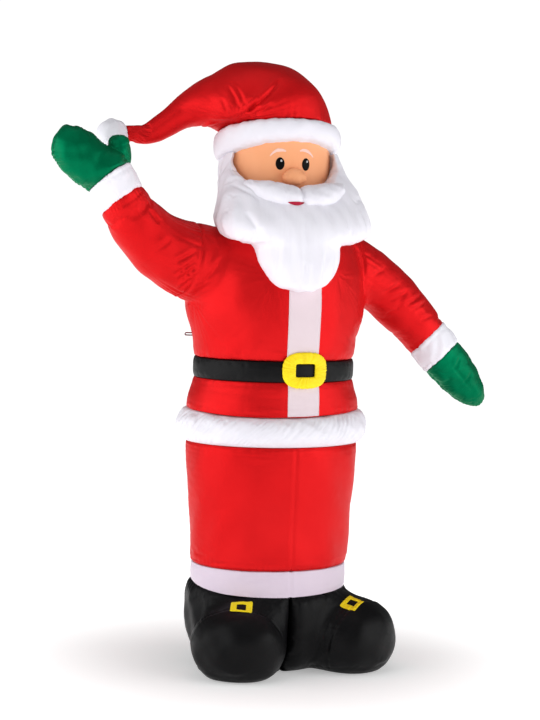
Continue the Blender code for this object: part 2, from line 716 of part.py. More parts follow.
def make_head(skin, white, torso, stripe_space):
    loft("head", head_rings(), skin)
    trim_solid("hat_trim", white)
    nose_centre = (0.0, -HEAD_RADIUS - NOSE_OUT, TRIM_BASE - NOSE_DROP)
    nose = ball("nose", nose_centre, NOSE_WIDTH / 2, NOSE_DEPTH / 2, NOSE_HEIGHT / 2, skin)
    nose_space = as_cutter(ball("nose_space", nose_centre, NOSE_WIDTH / 2, NOSE_DEPTH / 2, NOSE_HEIGHT / 2,
                                skin, GAP))
    combine(nose, "DIFFERENCE", torso)
    beard = beard_solid("beard", white)
    beard_face = as_cutter(loft("beard_face_space", face_space(), white))
    combine(beard, "DIFFERENCE", torso, beard_face, stripe_space, solver="MANIFOLD")
    beard_space = as_cutter(beard_solid("beard_space", white, GAP))
    inner_face = as_cutter(loft("inner_face_space", face_space(-GAP), white))
    combine(beard_space, "DIFFERENCE", inner_face, solver="MANIFOLD")
    moustache = moustache_solid("moustache", white)
    combine(moustache, "DIFFERENCE", torso, beard_space, nose_space, solver="MANIFOLD")
    return beard_space


ANKLE_STATIONS = ((-0.020, -0.100), (0.0, -0.080), (0.020, -0.058), (0.060, -0.034), (0.120, -0.008),
                  (0.190, 0.008), (0.260, BOOT_FLARE), (0.300, 0.008), (BOOT_HEIGHT - GAP, 0.0))


def boot_ankle(name, material, grow=0.0):
    """The ankle under the trouser cuff, flared a little above its rounded heel."""
    rings = [body_ring(level, ANKLE[0] + out, ANKLE[1] + out, grow=grow) for level, out in ANKLE_STATIONS]
    return loft(name, rings, material)


def toe_round(reach):
    """Share of full width and height left at this reach towards the toe's end."""
    share = max(0.0, 2 * reach / TOE_WIDTH)
    return (1 - share**2.4) ** (1 / 2.4), (1 - share**2.6) ** 0.45


def boot_foot(name, side, apart, material, grow=0.0):
    """The boot's foot: a fat instep that rolls down to a round toe."""
    aim = Vector((side * math.sin(TOE_SPLAY), -math.cos(TOE_SPLAY), 0.0))
    across = Vector((math.cos(TOE_SPLAY), side * math.sin(TOE_SPLAY), 0.0))
    centre = Vector((side * apart, -TOE_FORWARD, 0.0))
    toe = TOE_WIDTH / 2
    stations = [(-0.24, 0.66, 0.98), (-0.17, 0.86, 1.02), (-0.09, 0.96, 1.02)]
    for share in (0.0, 0.28, 0.5, 0.68, 0.82, 0.92, 0.98):
        stations.append((toe * share, *toe_round(toe * share)))
    rings = []
    for reach, width, height in stations:
        ring = []
        for i in range(FOOT_SEGMENTS):
            angle = 2 * math.pi * i / FOOT_SEGMENTS
            rise = (INSTEP_HEIGHT - TOE_MIDDLE) * height
            if math.sin(angle) < 0:
                rise = (TOE_MIDDLE + SOLE_ROUND) * max(height, 0.5)
            ring.append(centre + aim * reach + across * ((width * toe + grow) * math.cos(angle))
                        + Vector((0.0, 0.0, TOE_MIDDLE + (rise + grow) * math.sin(angle))))
        rings.append(ring)
    tip = centre + aim * (toe + grow) + Vector((0.0, 0.0, TOE_MIDDLE))
    return loft(name, rings, material, end_tip=tip)


def make_boot(name, side, apart, black, yellow, ground):
    boot = boot_ankle(name, black)
    foot = as_cutter(boot_foot(name + "_foot_form", side, apart, black))
    low = Vector((-0.8 if side > 0 else -GAP / 2, -0.8, -0.2))
    high = Vector((GAP / 2 if side > 0 else 0.8, 0.8, 0.6))
    other_side = as_cutter(box(name + "_split", low, high, black))
    combine(boot, "UNION", foot)
    combine(boot, "DIFFERENCE", other_side, ground)
    foot_space = as_cutter(boot_foot(name + "_foot_space", side, apart, black, GAP))
    ankle_space = as_cutter(boot_ankle(name + "_ankle_space", black, GAP))

    aim = Vector((side * math.sin(TOE_SPLAY), -math.cos(TOE_SPLAY), 0.0))
    across = Vector((math.cos(TOE_SPLAY), side * math.sin(TOE_SPLAY), 0.0))
    up = Vector((0.0, 0.0, 1.0))
    forward = aim * math.cos(BOOT_BUCKLE_SLOPE) - up * math.sin(BOOT_BUCKLE_SLOPE)
    outward = aim * math.sin(BOOT_BUCKLE_SLOPE) + up * math.cos(BOOT_BUCKLE_SLOPE)
    top = TOE_MIDDLE + (INSTEP_HEIGHT - TOE_MIDDLE) * toe_round(BOOT_BUCKLE_REACH)[1]
    centre = Vector((side * apart, -TOE_FORWARD, top)) + aim * BOOT_BUCKLE_REACH
    centre -= across * (side * BOOT_BUCKLE_INSET)

    def on_instep(out_across, along_foot, out):
        bow = 2.6 * out_across**2 + 1.5 * along_foot**2
        lift = -BOOT_BUCKLE_ROOT if out == 0.0 else out - bow
        return centre + across * out_across + forward * along_foot + outward * lift

    buckle = frame_plate(name.replace("boot", "boot_buckle"), BOOT_BUCKLE_WIDTH, BOOT_BUCKLE_LENGTH,
                         BOOT_BUCKLE_HOLE, BOOT_BUCKLE_HOLE, on_instep, BOOT_BUCKLE_THICKNESS, yellow)
    combine(buckle, "DIFFERENCE", foot_space, ankle_space, solver="MANIFOLD")


def make_tether(name, side, material, torso):
    """A webbing loop sewn to the coat's side seam, open so that a line can go through it."""
    angle = side * TETHER_ANGLE
    share = (TETHER_LEVEL - COAT_BASE) / COAT_HEIGHT
    wide, deep = along(COAT_SHAPE, share)
    foot = Vector((wide * math.sin(angle), -deep * math.cos(angle), TETHER_LEVEL))
    outward = Vector((math.sin(angle), -math.cos(angle), 0.0))
    along_coat = Vector((math.cos(angle), math.sin(angle), 0.0))
    half = TETHER_HEIGHT / 2
    inner = half - TETHER_WEBBING
    bend = TETHER_REACH - half
    profile = [(-TETHER_ROOT, -half), (bend, -half)]
    profile += [(bend + half * math.sin(math.radians(t)), -half * math.cos(math.radians(t)))
                for t in range(30, 180, 30)]
    profile += [(bend, half), (-TETHER_ROOT, half), (-TETHER_ROOT, inner), (bend, inner)]
    profile += [(bend + inner * math.sin(math.radians(t)), inner * math.cos(math.radians(t)))
                for t in range(30, 180, 30)]
    profile += [(bend, -inner), (-TETHER_ROOT, -inner)]
    rings = []
    for across in (-TETHER_WIDTH / 2, TETHER_WIDTH / 2):
        rings.append([foot + outward * out + along_coat * across + Vector((0.0, 0.0, up))
                      for out, up in profile])
    half_ring = len(profile) // 2
    vertices = rings[0] + rings[1]
    count = len(profile)
    faces = [(i, (i + 1) % count, count + (i + 1) % count, count + i) for i in range(count)]
    for base in (0, count):
        for i in range(half_ring - 1):
            faces.append((base + i, base + i + 1, base + count - 2 - i, base + count - 1 - i))
    loop = add_object(name, vertices, faces, material)
    combine(loop, "DIFFERENCE", torso)


def set_on_ground():
    """Parents every piece to one empty and centres the figure's box over the origin."""
    bpy.context.view_layer.update()
    depsgraph = bpy.context.evaluated_depsgraph_get()
    low = Vector((9, 9, 9))
    high = -low
    for item in bpy.context.scene.objects:
        if item.hide_render or item.type != "MESH":
            continue
        for vertex in item.evaluated_get(depsgraph).data.vertices:
            place = item.matrix_world @ vertex.co
            low = Vector(map(min, low, place))
            high = Vector(map(max, high, place))
    stand = bpy.data.objects.new("stand_point", None)
    bpy.context.scene.collection.objects.link(stand)
    for item in list(bpy.context.scene.objects):
        if item is not stand:
            item.parent = stand
    stand.location = (-(low.x + high.x) / 2, -(low.y + high.y) / 2, -low.z)
    bpy.context.view_layer.update()


def main():
    clear_scene()
    paint = {name: make_material(name) for name in COLOURS}
    ground = as_cutter(box("ground", Vector((-1, -1, -0.3)), Vector((1, 1, 0)), paint["black"]))
    make_boot("boot_right", -1, RIGHT_TOE_APART, paint["black"], paint["yellow"], ground)
    make_boot("boot_left", 1, LEFT_TOE_APART, paint["black"], paint["yellow"], ground)
    make_trousers(paint["red"], paint["white"])
    make_hem(paint["white"])
    stripe_space = make_coat(paint["red"], paint["white"], paint["black"], paint["yellow"])
    torso = torso_space(paint["red"])
    beard_space = make_head(paint["skin"], paint["white"], torso, stripe_space)
    make_arms(paint["red"], paint["white"], paint["green"], torso, beard_space)
    make_hat(paint["red"], paint["white"])
    make_tether("tether_loop_right", -1, paint["dark_red"], torso)
    make_tether("tether_loop_left", 1, paint["dark_red"], torso)
    set_on_ground()


main()
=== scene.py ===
import math

import bmesh
import bpy
import numpy as np
from mathutils import Matrix, Vector
from mathutils.bvhtree import BVHTree


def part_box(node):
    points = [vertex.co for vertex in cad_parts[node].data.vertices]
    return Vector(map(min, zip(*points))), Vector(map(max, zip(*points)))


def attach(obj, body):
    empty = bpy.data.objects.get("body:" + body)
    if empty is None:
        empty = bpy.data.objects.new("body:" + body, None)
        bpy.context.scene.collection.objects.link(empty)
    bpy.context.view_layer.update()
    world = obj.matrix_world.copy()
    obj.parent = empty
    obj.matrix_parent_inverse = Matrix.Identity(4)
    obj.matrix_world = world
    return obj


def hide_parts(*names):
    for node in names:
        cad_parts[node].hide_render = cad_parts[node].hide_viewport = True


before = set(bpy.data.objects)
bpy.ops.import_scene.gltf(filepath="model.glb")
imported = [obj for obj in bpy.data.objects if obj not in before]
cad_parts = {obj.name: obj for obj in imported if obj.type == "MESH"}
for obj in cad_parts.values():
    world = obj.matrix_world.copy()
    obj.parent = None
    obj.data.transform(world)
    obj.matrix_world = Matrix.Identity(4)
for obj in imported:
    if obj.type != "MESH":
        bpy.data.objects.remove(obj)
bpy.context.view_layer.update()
tau = 2 * math.pi

# The body stands over the middle of its own drum, and each level comes from the frame
drumLow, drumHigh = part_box("trousers")
bodyX = (drumLow.x + drumHigh.x) / 2
bodyY = (drumLow.y + drumHigh.y) / 2
bodyMid = np.array([bodyX, bodyY, 0.0])


def levels(node):
    low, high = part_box(node)
    return low.z, high.z


# half-width and half-depth of the body at its seams, in metres
bodySizes = {
    "ankle": (0.314, 0.272),
    "knee": (0.327, 0.280),
    "trouserTop": (0.345, 0.290),
    "hemSeam": (0.352, 0.292),
    "waist": (0.322, 0.278),
    "belt": (0.324, 0.285),
    "chest": (0.366, 0.290),
    "neck": (0.190, 0.190),
}


# Selection and mesh helpers

def deselectAll():
    if bpy.context.object and bpy.context.object.mode != "OBJECT":
        bpy.ops.object.mode_set(mode="OBJECT")
    bpy.ops.object.select_all(action="DESELECT")


def makeActive(item):
    deselectAll()
    item.select_set(True)
    bpy.context.view_layer.objects.active = item


def getPoints(item):
    flat = np.empty(len(item.data.vertices) * 3)
    item.data.vertices.foreach_get("co", flat)
    return flat.reshape(-1, 3)


def setPoints(item, spots):
    item.data.vertices.foreach_set("co", np.asarray(spots, float).ravel())
    item.data.update()


def getNormals(item):
    flat = np.empty(len(item.data.vertices) * 3)
    item.data.vertex_normals.foreach_get("vector", flat)
    return flat.reshape(-1, 3)


def applyAll(item):
    makeActive(item)
    for modifier in list(item.modifiers):
        bpy.ops.object.modifier_apply(modifier=modifier.name)


def faceOut(item):
    makeActive(item)
    bpy.ops.object.mode_set(mode="EDIT")
    bpy.ops.mesh.select_all(action="SELECT")
    bpy.ops.mesh.normals_make_consistent(inside=False)
    bpy.ops.object.mode_set(mode="OBJECT")


def applyPlace(item):
    makeActive(item)
    bpy.ops.object.transform_apply(location=True, rotation=True, scale=True)


# values at t on a smooth curve through (t, value, ...) stations that never overshoots
def along(stations, t):
    table = np.array(stations, float)
    x = table[:, 0]
    y = table[:, 1:]
    rise = np.diff(y, axis=0) / np.diff(x)[:, None]
    slope = np.zeros_like(y)
    before = rise[:-1]
    after = rise[1:]
    same = before * after > 0
    inner = np.zeros_like(before)
    inner[same] = (2 * before * after)[same] / (before + after)[same]
    slope[1:-1] = inner
    slope[0] = rise[0]
    slope[-1] = rise[-1]
    t = np.clip(np.asarray(t, float), x[0], x[-1])
    k = np.clip(np.searchsorted(x, t, side="right") - 1, 0, len(x) - 2)
    step = (x[k + 1] - x[k])[..., None]
    s = (t - x[k])[..., None] / step
    return ((2 * s**3 - 3 * s**2 + 1) * y[k] + (s**3 - 2 * s**2 + s) * slope[k] * step
            + (3 * s**2 - 2 * s**3) * y[k + 1] + (s**3 - s**2) * slope[k + 1] * step)


# between 0 and 1
def unit(values):
    return np.clip(values, 0, 1)


# 1 on a line and falling to nothing about two widths from it
def bell(distance, width):
    return np.exp(-(distance / width) ** 2)


# an angle as a share of a turn
def turnOf(angle):
    return (angle / tau) % 1.0


# irregular gathers round a seam, from -1 in the valleys to 1 on the ridges; turn runs from 0 to 1
def gathers(turn, count, seed, sharp=0.8):
    rng = np.random.default_rng(seed)
    warped = turn * count
    for n in (1, 2, 3, 5, 8):
        warped = warped + rng.uniform(0.2, 0.7) * np.sin(tau * (n * turn + rng.random()))
    tall = 0.62 + 0.38 * np.sin(tau * (7 * turn + rng.random())) * np.sin(tau * (3 * turn + rng.random()))
    return (2 * np.abs(np.sin(math.pi * warped)) ** sharp - 1) * tall


# soft unevenness of about this size, from -1 to 1
def lumps(spots, size, seed):
    rng = np.random.default_rng(seed)
    total = np.zeros(len(spots))
    for _ in range(7):
        way = rng.normal(size=3)
        way *= rng.uniform(0.7, 1.5) * tau / size / np.linalg.norm(way)
        total += np.sin(spots @ way + rng.uniform(0, tau))
    return total / 3.2


# folds that fan out from one spot; across and up are distances from it
def fan(across, up, count, reach, seed):
    far = np.hypot(across, up)
    around = np.arctan2(up, across) / tau + 0.5
    return gathers(around, count, seed, 1.0) * np.exp(-far / reach) * (1 - bell(far, 0.03))


# a creased line in the picture plane (x, z): a narrow valley with a raised lip beside it
def crease(spots, normals, start, end, depth, width):
    start = np.array(start)
    run = np.array(end) - start
    flat = spots[:, [0, 2]] - start
    share = unit(flat @ run / (run @ run))
    side = np.array([-run[1], run[0]]) / np.linalg.norm(run)
    aside = flat @ side
    miss = np.linalg.norm(flat - share[:, None] * run, axis=1)
    fade = np.sin(math.pi * unit(share)) ** 0.6 * (miss < 6 * width)
    fade = fade * unit(-normals[:, 1] * 2.5)
    valley = bell(miss, width)
    lip = bell(aside - 2.2 * width, 1.6 * width)
    return depth * fade * (0.55 * lip - valley)


# several creases, each with its start, end, depth and width
def creases(spots, normals, lines):
    return sum(crease(spots, normals, *line) for line in lines)


# Materials

def addNode(tree, kind, **settings):
    node = tree.nodes.new(kind)
    for name, value in settings.items():
        setattr(node, name, value)
    return node


# Woven nylon: a fine plain weave, slack crinkles in the cloth, and tone that drifts a little
def makeNylonGroup():
    group = bpy.data.node_groups.new("wovenNylon", "ShaderNodeTree")
    for name, value in (("Weave Scale", 420.0), ("Crinkle Scale", 9.0), ("Crinkle", 0.6)):
        group.interface.new_socket(name, in_out="INPUT", socket_type="NodeSocketFloat").default_value = value
    for name in ("Height", "Tone", "Wear"):
        group.interface.new_socket(name, in_out="OUTPUT", socket_type="NodeSocketFloat")
    inputs = addNode(group, "NodeGroupInput")
    outputs = addNode(group, "NodeGroupOutput")
    place = addNode(group, "ShaderNodeTexCoord")
    link = group.links.new
    threads = []
    for direction in ("X", "Z"):
        wave = addNode(group, "ShaderNodeTexWave", bands_direction=direction)
        wave.inputs["Distortion"].default_value = 0.6
        wave.inputs["Detail"].default_value = 1.0
        link(place.outputs["Object"], wave.inputs["Vector"])
        link(inputs.outputs["Weave Scale"], wave.inputs["Scale"])
        threads.append(wave.outputs["Fac"])
    weave = addNode(group, "ShaderNodeMath", operation="MAXIMUM")
    link(threads[0], weave.inputs[0])
    link(threads[1], weave.inputs[1])
    slack = addNode(group, "ShaderNodeTexNoise")
    slack.inputs["Detail"].default_value = 3.0
    slack.inputs["Roughness"].default_value = 0.45
    slack.inputs["Distortion"].default_value = 0.35
    link(place.outputs["Object"], slack.inputs["Vector"])
    link(inputs.outputs["Crinkle Scale"], slack.inputs["Scale"])
    fine = addNode(group, "ShaderNodeMath", operation="MULTIPLY")
    fine.inputs[1].default_value = 0.012
    link(weave.outputs[0], fine.inputs[0])
    broad = addNode(group, "ShaderNodeMath", operation="MULTIPLY")
    link(slack.outputs["Fac"], broad.inputs[0])
    link(inputs.outputs["Crinkle"], broad.inputs[1])
    height = addNode(group, "ShaderNodeMath", operation="ADD")
    link(fine.outputs[0], height.inputs[0])
    link(broad.outputs[0], height.inputs[1])
    drift = addNode(group, "ShaderNodeTexNoise")
    drift.inputs["Scale"].default_value = 2.4
    drift.inputs["Detail"].default_value = 4.0
    link(place.outputs["Object"], drift.inputs["Vector"])
    wear = addNode(group, "ShaderNodeTexNoise")
    wear.inputs["Scale"].default_value = 34.0
    wear.inputs["Detail"].default_value = 2.0
    link(place.outputs["Object"], wear.inputs["Vector"])
    link(height.outputs[0], outputs.inputs["Height"])
    link(drift.outputs["Fac"], outputs.inputs["Tone"])
    link(wear.outputs["Fac"], outputs.inputs["Wear"])
    return group


nylonGroup = makeNylonGroup()


# one colour of nylon; light and deep are the tones it drifts between, gloss tints its shine, and
# sheer is the share of the light that the threads throw back in their own colour
def makeNylon(name, light, deep, gloss, roughness=0.40, crinkle=0.6, scale=9.0, shine=0.35, sheer=0.0,
              depth=0.006):
    material = bpy.data.materials.new(name)
    material.use_nodes = True
    tree = material.node_tree
    link = tree.links.new
    shader = tree.nodes["Principled BSDF"]
    cloth = addNode(tree, "ShaderNodeGroup", node_tree=nylonGroup)
    cloth.inputs["Crinkle"].default_value = crinkle
    cloth.inputs["Crinkle Scale"].default_value = scale
    tone = addNode(tree, "ShaderNodeMapRange")
    tone.inputs["From Min"].default_value = 0.32
    tone.inputs["From Max"].default_value = 0.68
    link(cloth.outputs["Tone"], tone.inputs["Value"])
    colour = addNode(tree, "ShaderNodeMix", data_type="RGBA")
    colour.inputs["A"].default_value = (*light, 1.0)
    colour.inputs["B"].default_value = (*deep, 1.0)
    link(tone.outputs["Result"], colour.inputs["Factor"])
    link(colour.outputs["Result"], shader.inputs["Base Color"])
    rough = addNode(tree, "ShaderNodeMapRange")
    rough.inputs["To Min"].default_value = roughness - 0.05
    rough.inputs["To Max"].default_value = roughness + 0.07
    link(cloth.outputs["Wear"], rough.inputs["Value"])
    link(rough.outputs["Result"], shader.inputs["Roughness"])
    bump = addNode(tree, "ShaderNodeBump")
    bump.inputs["Strength"].default_value = 0.9
    bump.inputs["Distance"].default_value = depth
    link(cloth.outputs["Height"], bump.inputs["Height"])
    link(bump.outputs["Normal"], shader.inputs["Normal"])
    shader.inputs["Specular IOR Level"].default_value = shine
    shader.inputs["Specular Tint"].default_value = (*gloss, 1.0)
    shader.inputs["Metallic"].default_value = sheer
    return material


redGloss = (1.0, 0.12, 0.11)
whiteGloss = (1.0, 1.0, 1.0)
skinGloss = (1.0, 0.80, 0.62)
greenGloss = (0.1, 0.9, 0.55)
yellowGloss = (1.0, 0.95, 0.5)
redNylon = makeNylon("redNylon", (0.67, 0.012, 0.014), (0.58, 0.008, 0.010), redGloss, 0.37, shine=0.16,
                     sheer=0.38)
whiteNylon = makeNylon("whiteNylon", (0.82, 0.81, 0.87), (0.77, 0.75, 0.82), whiteGloss, 0.50, shine=0.3)
bandNylon = makeNylon("bandNylon", (0.74, 0.63, 0.73), (0.64, 0.54, 0.66), whiteGloss, 0.42)
stripeNylon = makeNylon("stripeNylon", (0.74, 0.62, 0.66), (0.70, 0.58, 0.62), whiteGloss, 0.46, shine=0.2)
blackNylon = makeNylon("blackNylon", (0.003, 0.003, 0.0035), (0.002, 0.002, 0.0025), whiteGloss, 0.42,
                       shine=0.13)
greenNylon = makeNylon("greenNylon", (0.000, 0.185, 0.076), (0.000, 0.120, 0.048), greenGloss, 0.34,
                       shine=0.10, sheer=0.35)
yellowNylon = makeNylon("yellowNylon", (0.96, 0.76, 0.012), (0.88, 0.62, 0.008), yellowGloss, 0.50, 1.2, 30.0)
skinNylon = makeNylon("skinNylon", (0.94, 0.48, 0.26), (0.91, 0.38, 0.18), skinGloss, 0.42, 0.3)
browCloth = makeNylon("browCloth", (0.95, 0.66, 0.58), (0.92, 0.60, 0.52), skinGloss, 0.50)
mouthCloth = makeNylon("mouthCloth", (0.42, 0.02, 0.05), (0.36, 0.015, 0.04), redGloss, 0.50)
eyeCloth = makeNylon("eyeCloth", (0.004, 0.003, 0.004), (0.003, 0.003, 0.003), whiteGloss, 0.45, 0.2,
                     shine=0.06)
# pale grey for the eyes' glints: a painted highlight
paintedGlintCloth = makeNylon("paintedGlintCloth", (0.55, 0.55, 0.58), (0.50, 0.50, 0.52), whiteGloss, 0.40, 0.1)
webbingCloth = makeNylon("webbingCloth", (0.22, 0.008, 0.014), (0.16, 0.005, 0.010), redGloss, 0.70, 0.8,
                         60.0)
print("materials made")


# A tube of unit size with evenly cut rows; its caps are ringed and closed
def addTube(name, sides, rows):
    deselectAll()
    bpy.ops.mesh.primitive_cylinder_add(vertices=sides, radius=1, depth=1, end_fill_type="NGON")
    tube = bpy.context.object
    tube.name = tube.data.name = name
    bpy.ops.object.mode_set(mode="EDIT")
    bpy.ops.mesh.select_mode(type="EDGE")
    bpy.ops.mesh.select_all(action="DESELECT")
    mesh = bmesh.from_edit_mesh(tube.data)
    for edge in mesh.edges:
        edge.select_set(abs(edge.verts[0].co.z - edge.verts[1].co.z) > 0.5)
    bmesh.update_edit_mesh(tube.data)
    bpy.ops.mesh.subdivide(number_cuts=rows - 2)
    bpy.ops.mesh.select_mode(type="FACE")
    for width in (0.1, 0.2, 0.3):
        bpy.ops.mesh.select_all(action="DESELECT")
        mesh = bmesh.from_edit_mesh(tube.data)
        for face in mesh.faces:
            face.select_set(abs(face.normal.z) > 0.9 and len(face.verts) == sides)
        bmesh.update_edit_mesh(tube.data)
        bpy.ops.mesh.inset(thickness=width, depth=0)
    bpy.ops.mesh.poke()
    bpy.ops.mesh.select_mode(type="VERT")
    bpy.ops.object.mode_set(mode="OBJECT")
    return tube


# angle from the front, share of the length, and share of the radius (under 1 on the caps)
def tubeShares(tube, crowd=0.0):
    spots = getPoints(tube)
    angle = np.arctan2(spots[:, 0], -spots[:, 1])
    share = unit(spots[:, 2] + 0.5)
    share = share - crowd * np.sin(tau * share) / tau
    return angle, share, unit(np.hypot(spots[:, 0], spots[:, 1]))


# an even skin of quads over the whole form
def remesh(item, voxel, softening):
    modifier = item.modifiers.new("Remesh", "REMESH")
    modifier.mode = "VOXEL"
    modifier.voxel_size = voxel
    if softening:
        soft = item.modifiers.new("Smooth", "SMOOTH")
        soft.factor = 0.5
        soft.iterations = softening
    applyAll(item)


# Cloth bridges a hollow: points in hollows move out, and points on swells stay
def fillHollows(item, rounds, where=None):
    edges = np.empty(len(item.data.edges) * 2, int)
    item.data.edges.foreach_get("vertices", edges)
    start, end = edges.reshape(-1, 2).T
    spots = getPoints(item)
    ends = np.concatenate([start, end])
    others = np.concatenate([end, start])
    number = np.bincount(ends, minlength=len(spots))[:, None]
    free = np.ones(len(spots)) if where is None else where(spots)
    for _ in range(rounds):
        mean = np.stack([np.bincount(ends, spots[others, axis], len(spots)) for axis in range(3)], 1) / number
        step = mean - spots
        outward = (step * getNormals(item)).sum(1) > 0
        spots = spots + 0.6 * step * (outward * free)[:, None]
        setPoints(item, spots)


def cut(item, operation, other, solver="MANIFOLD"):
    modifier = item.modifiers.new(operation.title(), "BOOLEAN")
    modifier.operation = operation
    modifier.solver = solver
    modifier.object = other
    applyAll(item)


def discard(*items):
    for item in items:
        bpy.data.objects.remove(item, do_unlink=True)


# hands one finished piece over: smooth shading, its material, its place under the root, and the CAD nodes
# that it stands for, which it hides
def finish(piece, material, nodes=()):
    makeActive(piece)
    bpy.ops.object.shade_smooth()
    piece.data.materials.clear()
    piece.data.materials.append(material)
    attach(piece, "root")
    if nodes:
        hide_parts(*nodes)
    return piece


sewnPieces = []


# A sewn form waits here for the blower; pinned(spots) says which points a seam holds, and
# details(spots, normals) gives how far each point then stands out or in
def sew(piece, material, slotName, nodes, pinned, details, give=0.007):
    faceOut(piece)
    sewnPieces.append({"piece": piece, "material": material, "slot": slotName, "nodes": nodes,
                       "pinned": pinned, "details": details, "give": give})
    return piece


blower = {"pressure": 4.0, "slack": 0.012, "frames": 20, "bending": 0.4, "stiffness": 12.0}


def blowUp():
    for sewn in sewnPieces:
        piece = sewn["piece"]
        spots = getPoints(piece)
        sewn["before"] = spots
        seams = piece.vertex_groups.new(name="seams")
        seams.add([int(i) for i in np.flatnonzero(sewn["pinned"](spots))], 1.0, "REPLACE")
        cloth = piece.modifiers.new("Inflate", "CLOTH")
        cloth.settings.quality = 4
        cloth.settings.mass = 0.1
        cloth.settings.tension_stiffness = blower["stiffness"]
        cloth.settings.compression_stiffness = blower["stiffness"]
        cloth.settings.shear_stiffness = blower["stiffness"] / 3
        cloth.settings.bending_stiffness = blower["bending"]
        cloth.settings.use_pressure = True
        cloth.settings.uniform_pressure_force = blower["pressure"]
        cloth.settings.shrink_min = -blower["slack"]
        cloth.settings.vertex_group_mass = "seams"
        cloth.settings.effector_weights.gravity = 0
        cloth.collision_settings.use_collision = False
        cloth.point_cache.frame_start = 1
        cloth.point_cache.frame_end = blower["frames"]
    for number in range(1, blower["frames"] + 1):
        bpy.context.scene.frame_set(number)
    for sewn in sewnPieces:
        piece = sewn["piece"]
        applyAll(piece)
        piece.vertex_groups.clear()
        move = getPoints(piece) - sewn["before"]
        far = np.linalg.norm(move, axis=1)
        keep = np.minimum(1, sewn["give"] / np.maximum(far, 1e-9))
        setPoints(piece, sewn["before"] + move * keep[:, None])
    bpy.context.scene.frame_set(1)


# one subdivision, then the seams, gathers and folds
def finishSewn():
    for sewn in sewnPieces:
        piece = sewn["piece"]
        rounder = piece.modifiers.new("Subdivision", "SUBSURF")
        rounder.levels = rounder.render_levels = 1
        rounder.use_limit_surface = False
        applyAll(piece)
        spots = getPoints(piece)
        normals = getNormals(piece)
        out = sewn["details"](spots, normals)
        setPoints(piece, spots + normals * out[:, None])
        finish(piece, sewn["material"], sewn["nodes"])
        print("sewn:", piece.name, len(piece.data.polygons), "faces")


# Sections of the body, from the trouser cuff to the shoulders

def station(share, size, out=0.0):
    return share, bodySizes[size][0] + out, bodySizes[size][1] + out


chestWide, chestDeep = bodySizes["chest"]
shoulderRound = ((0.58, 0.975), (0.71, 0.905), (0.84, 0.79), (0.93, 0.66))
profiles = {
    "trouser_cuff": (station(0, "ankle"), station(0.5, "ankle", 0.001), station(1, "ankle")),
    "trousers": (station(0, "ankle", -0.002), station(0.08, "ankle", 0.004), station(0.45, "knee"),
                 station(0.9, "trouserTop", 0.002), station(1, "trouserTop")),
    "coat_hem": (station(0, "hemSeam"), station(0.06, "hemSeam", 0.014), station(0.25, "hemSeam", 0.029),
                 station(0.5, "hemSeam", 0.035), station(0.75, "hemSeam", 0.029),
                 station(0.94, "hemSeam", 0.014), station(1, "hemSeam")),
    "coat_skirt": (station(0, "hemSeam", -0.002), station(0.3, "hemSeam", -0.006),
                   station(0.75, "waist", 0.007), station(1, "waist", -0.001)),
    "belt": (station(0, "belt", -0.003), station(0.2, "belt"), station(0.8, "belt"),
             station(1, "belt", -0.003)),
    "coat_body": (station(0, "waist"), station(0.12, "waist", 0.007), station(0.38, "chest"),
                  *((share, chestWide * part, chestDeep * part) for share, part in shoulderRound),
                  station(1, "neck")),
}


def bodyPoints(angle, level, wide, deep):
    return np.stack([bodyX + wide * np.sin(angle), bodyY - deep * np.cos(angle), level], 1)


# angle round the body's upright line, measured from the front
def roundBody(spots):
    return np.arctan2(spots[:, 0] - bodyX, bodyY - spots[:, 1])


# angle round the body, share of a section's height, and how far out a spot is (1 on its wall)
def bodyShares(spots, node):
    low, high = levels(node)
    share = (spots[:, 2] - low) / (high - low)
    size = along(profiles[node], share)
    across = (spots[:, 0] - bodyX) / size[:, 0]
    ahead = (bodyY - spots[:, 1]) / size[:, 1]
    return np.arctan2(across, ahead), share, np.hypot(across, ahead)


# the trouser band's lower edge rides up at the figure's right and dips a little in front
def bandDrop(angle):
    turned = np.degrees(np.angle(np.exp(1j * (angle + math.radians(112)))))
    return 0.024 * bell(turned, 34) - 0.009 * unit(np.cos(angle + 0.25)) ** 2


# the hem's upper seam dips a little towards the front
def hemDip(angle):
    return 0.015 * unit(np.cos(angle + math.radians(25))) ** 1.5


def bodySection(name, node, look):
    low, high = levels(node)
    tube = addTube(name, look["sides"], look["rows"])
    angle, share, inward = tubeShares(tube, 0.5)
    size = along(profiles[node], share)
    level = low + share * (high - low)
    if node == "trouser_cuff":
        level = level + bandDrop(angle) * (1 - share) * inward
    if node == "coat_hem":
        level = level - hemDip(angle) * share**1.5 * inward
    if node == "coat_skirt":
        level = level - hemDip(angle) * (1 - share) ** 2 * inward
    setPoints(tube, bodyPoints(angle, level, size[:, 0] * inward, size[:, 1] * inward))
    return tube


# seam dips, gathers beside the seams, and the slack of the cloth between them
def sectionDetails(node, look, extra=None):
    low, high = levels(node)

    def details(spots, normals):
        angle, share, reach = bodyShares(spots, node)
        gap = unit(np.minimum(share, 1 - share)) * (high - low)
        turn = turnOf(angle)
        seed = look["seed"]
        out = look["pucker"] * np.exp(-gap / look["puckerReach"]) * gathers(turn, look["puckers"], seed)
        out *= 1 - bell(gap, 0.005)
        rolls = lumps(spots * np.array([0.5, 0.5, 3.0]), 0.06, seed)
        out += 0.4 * look["pucker"] * np.exp(-gap / 0.05) * rolls
        out += look["slack"] * lumps(spots, 0.17, seed + 1) * unit(gap / 0.04)
        if extra:
            out += extra(spots, normals, angle)
        return out * unit((reach - 0.93) / 0.05)

    return details


# the rows at a section's two ends, and its caps, don't move
def sectionPins(node):
    low, high = levels(node)

    def pinned(spots):
        reach = bodyShares(spots, node)[2]
        return (spots[:, 2] < low + 0.008) | (spots[:, 2] > high - 0.008) | (reach < 0.93)

    return pinned


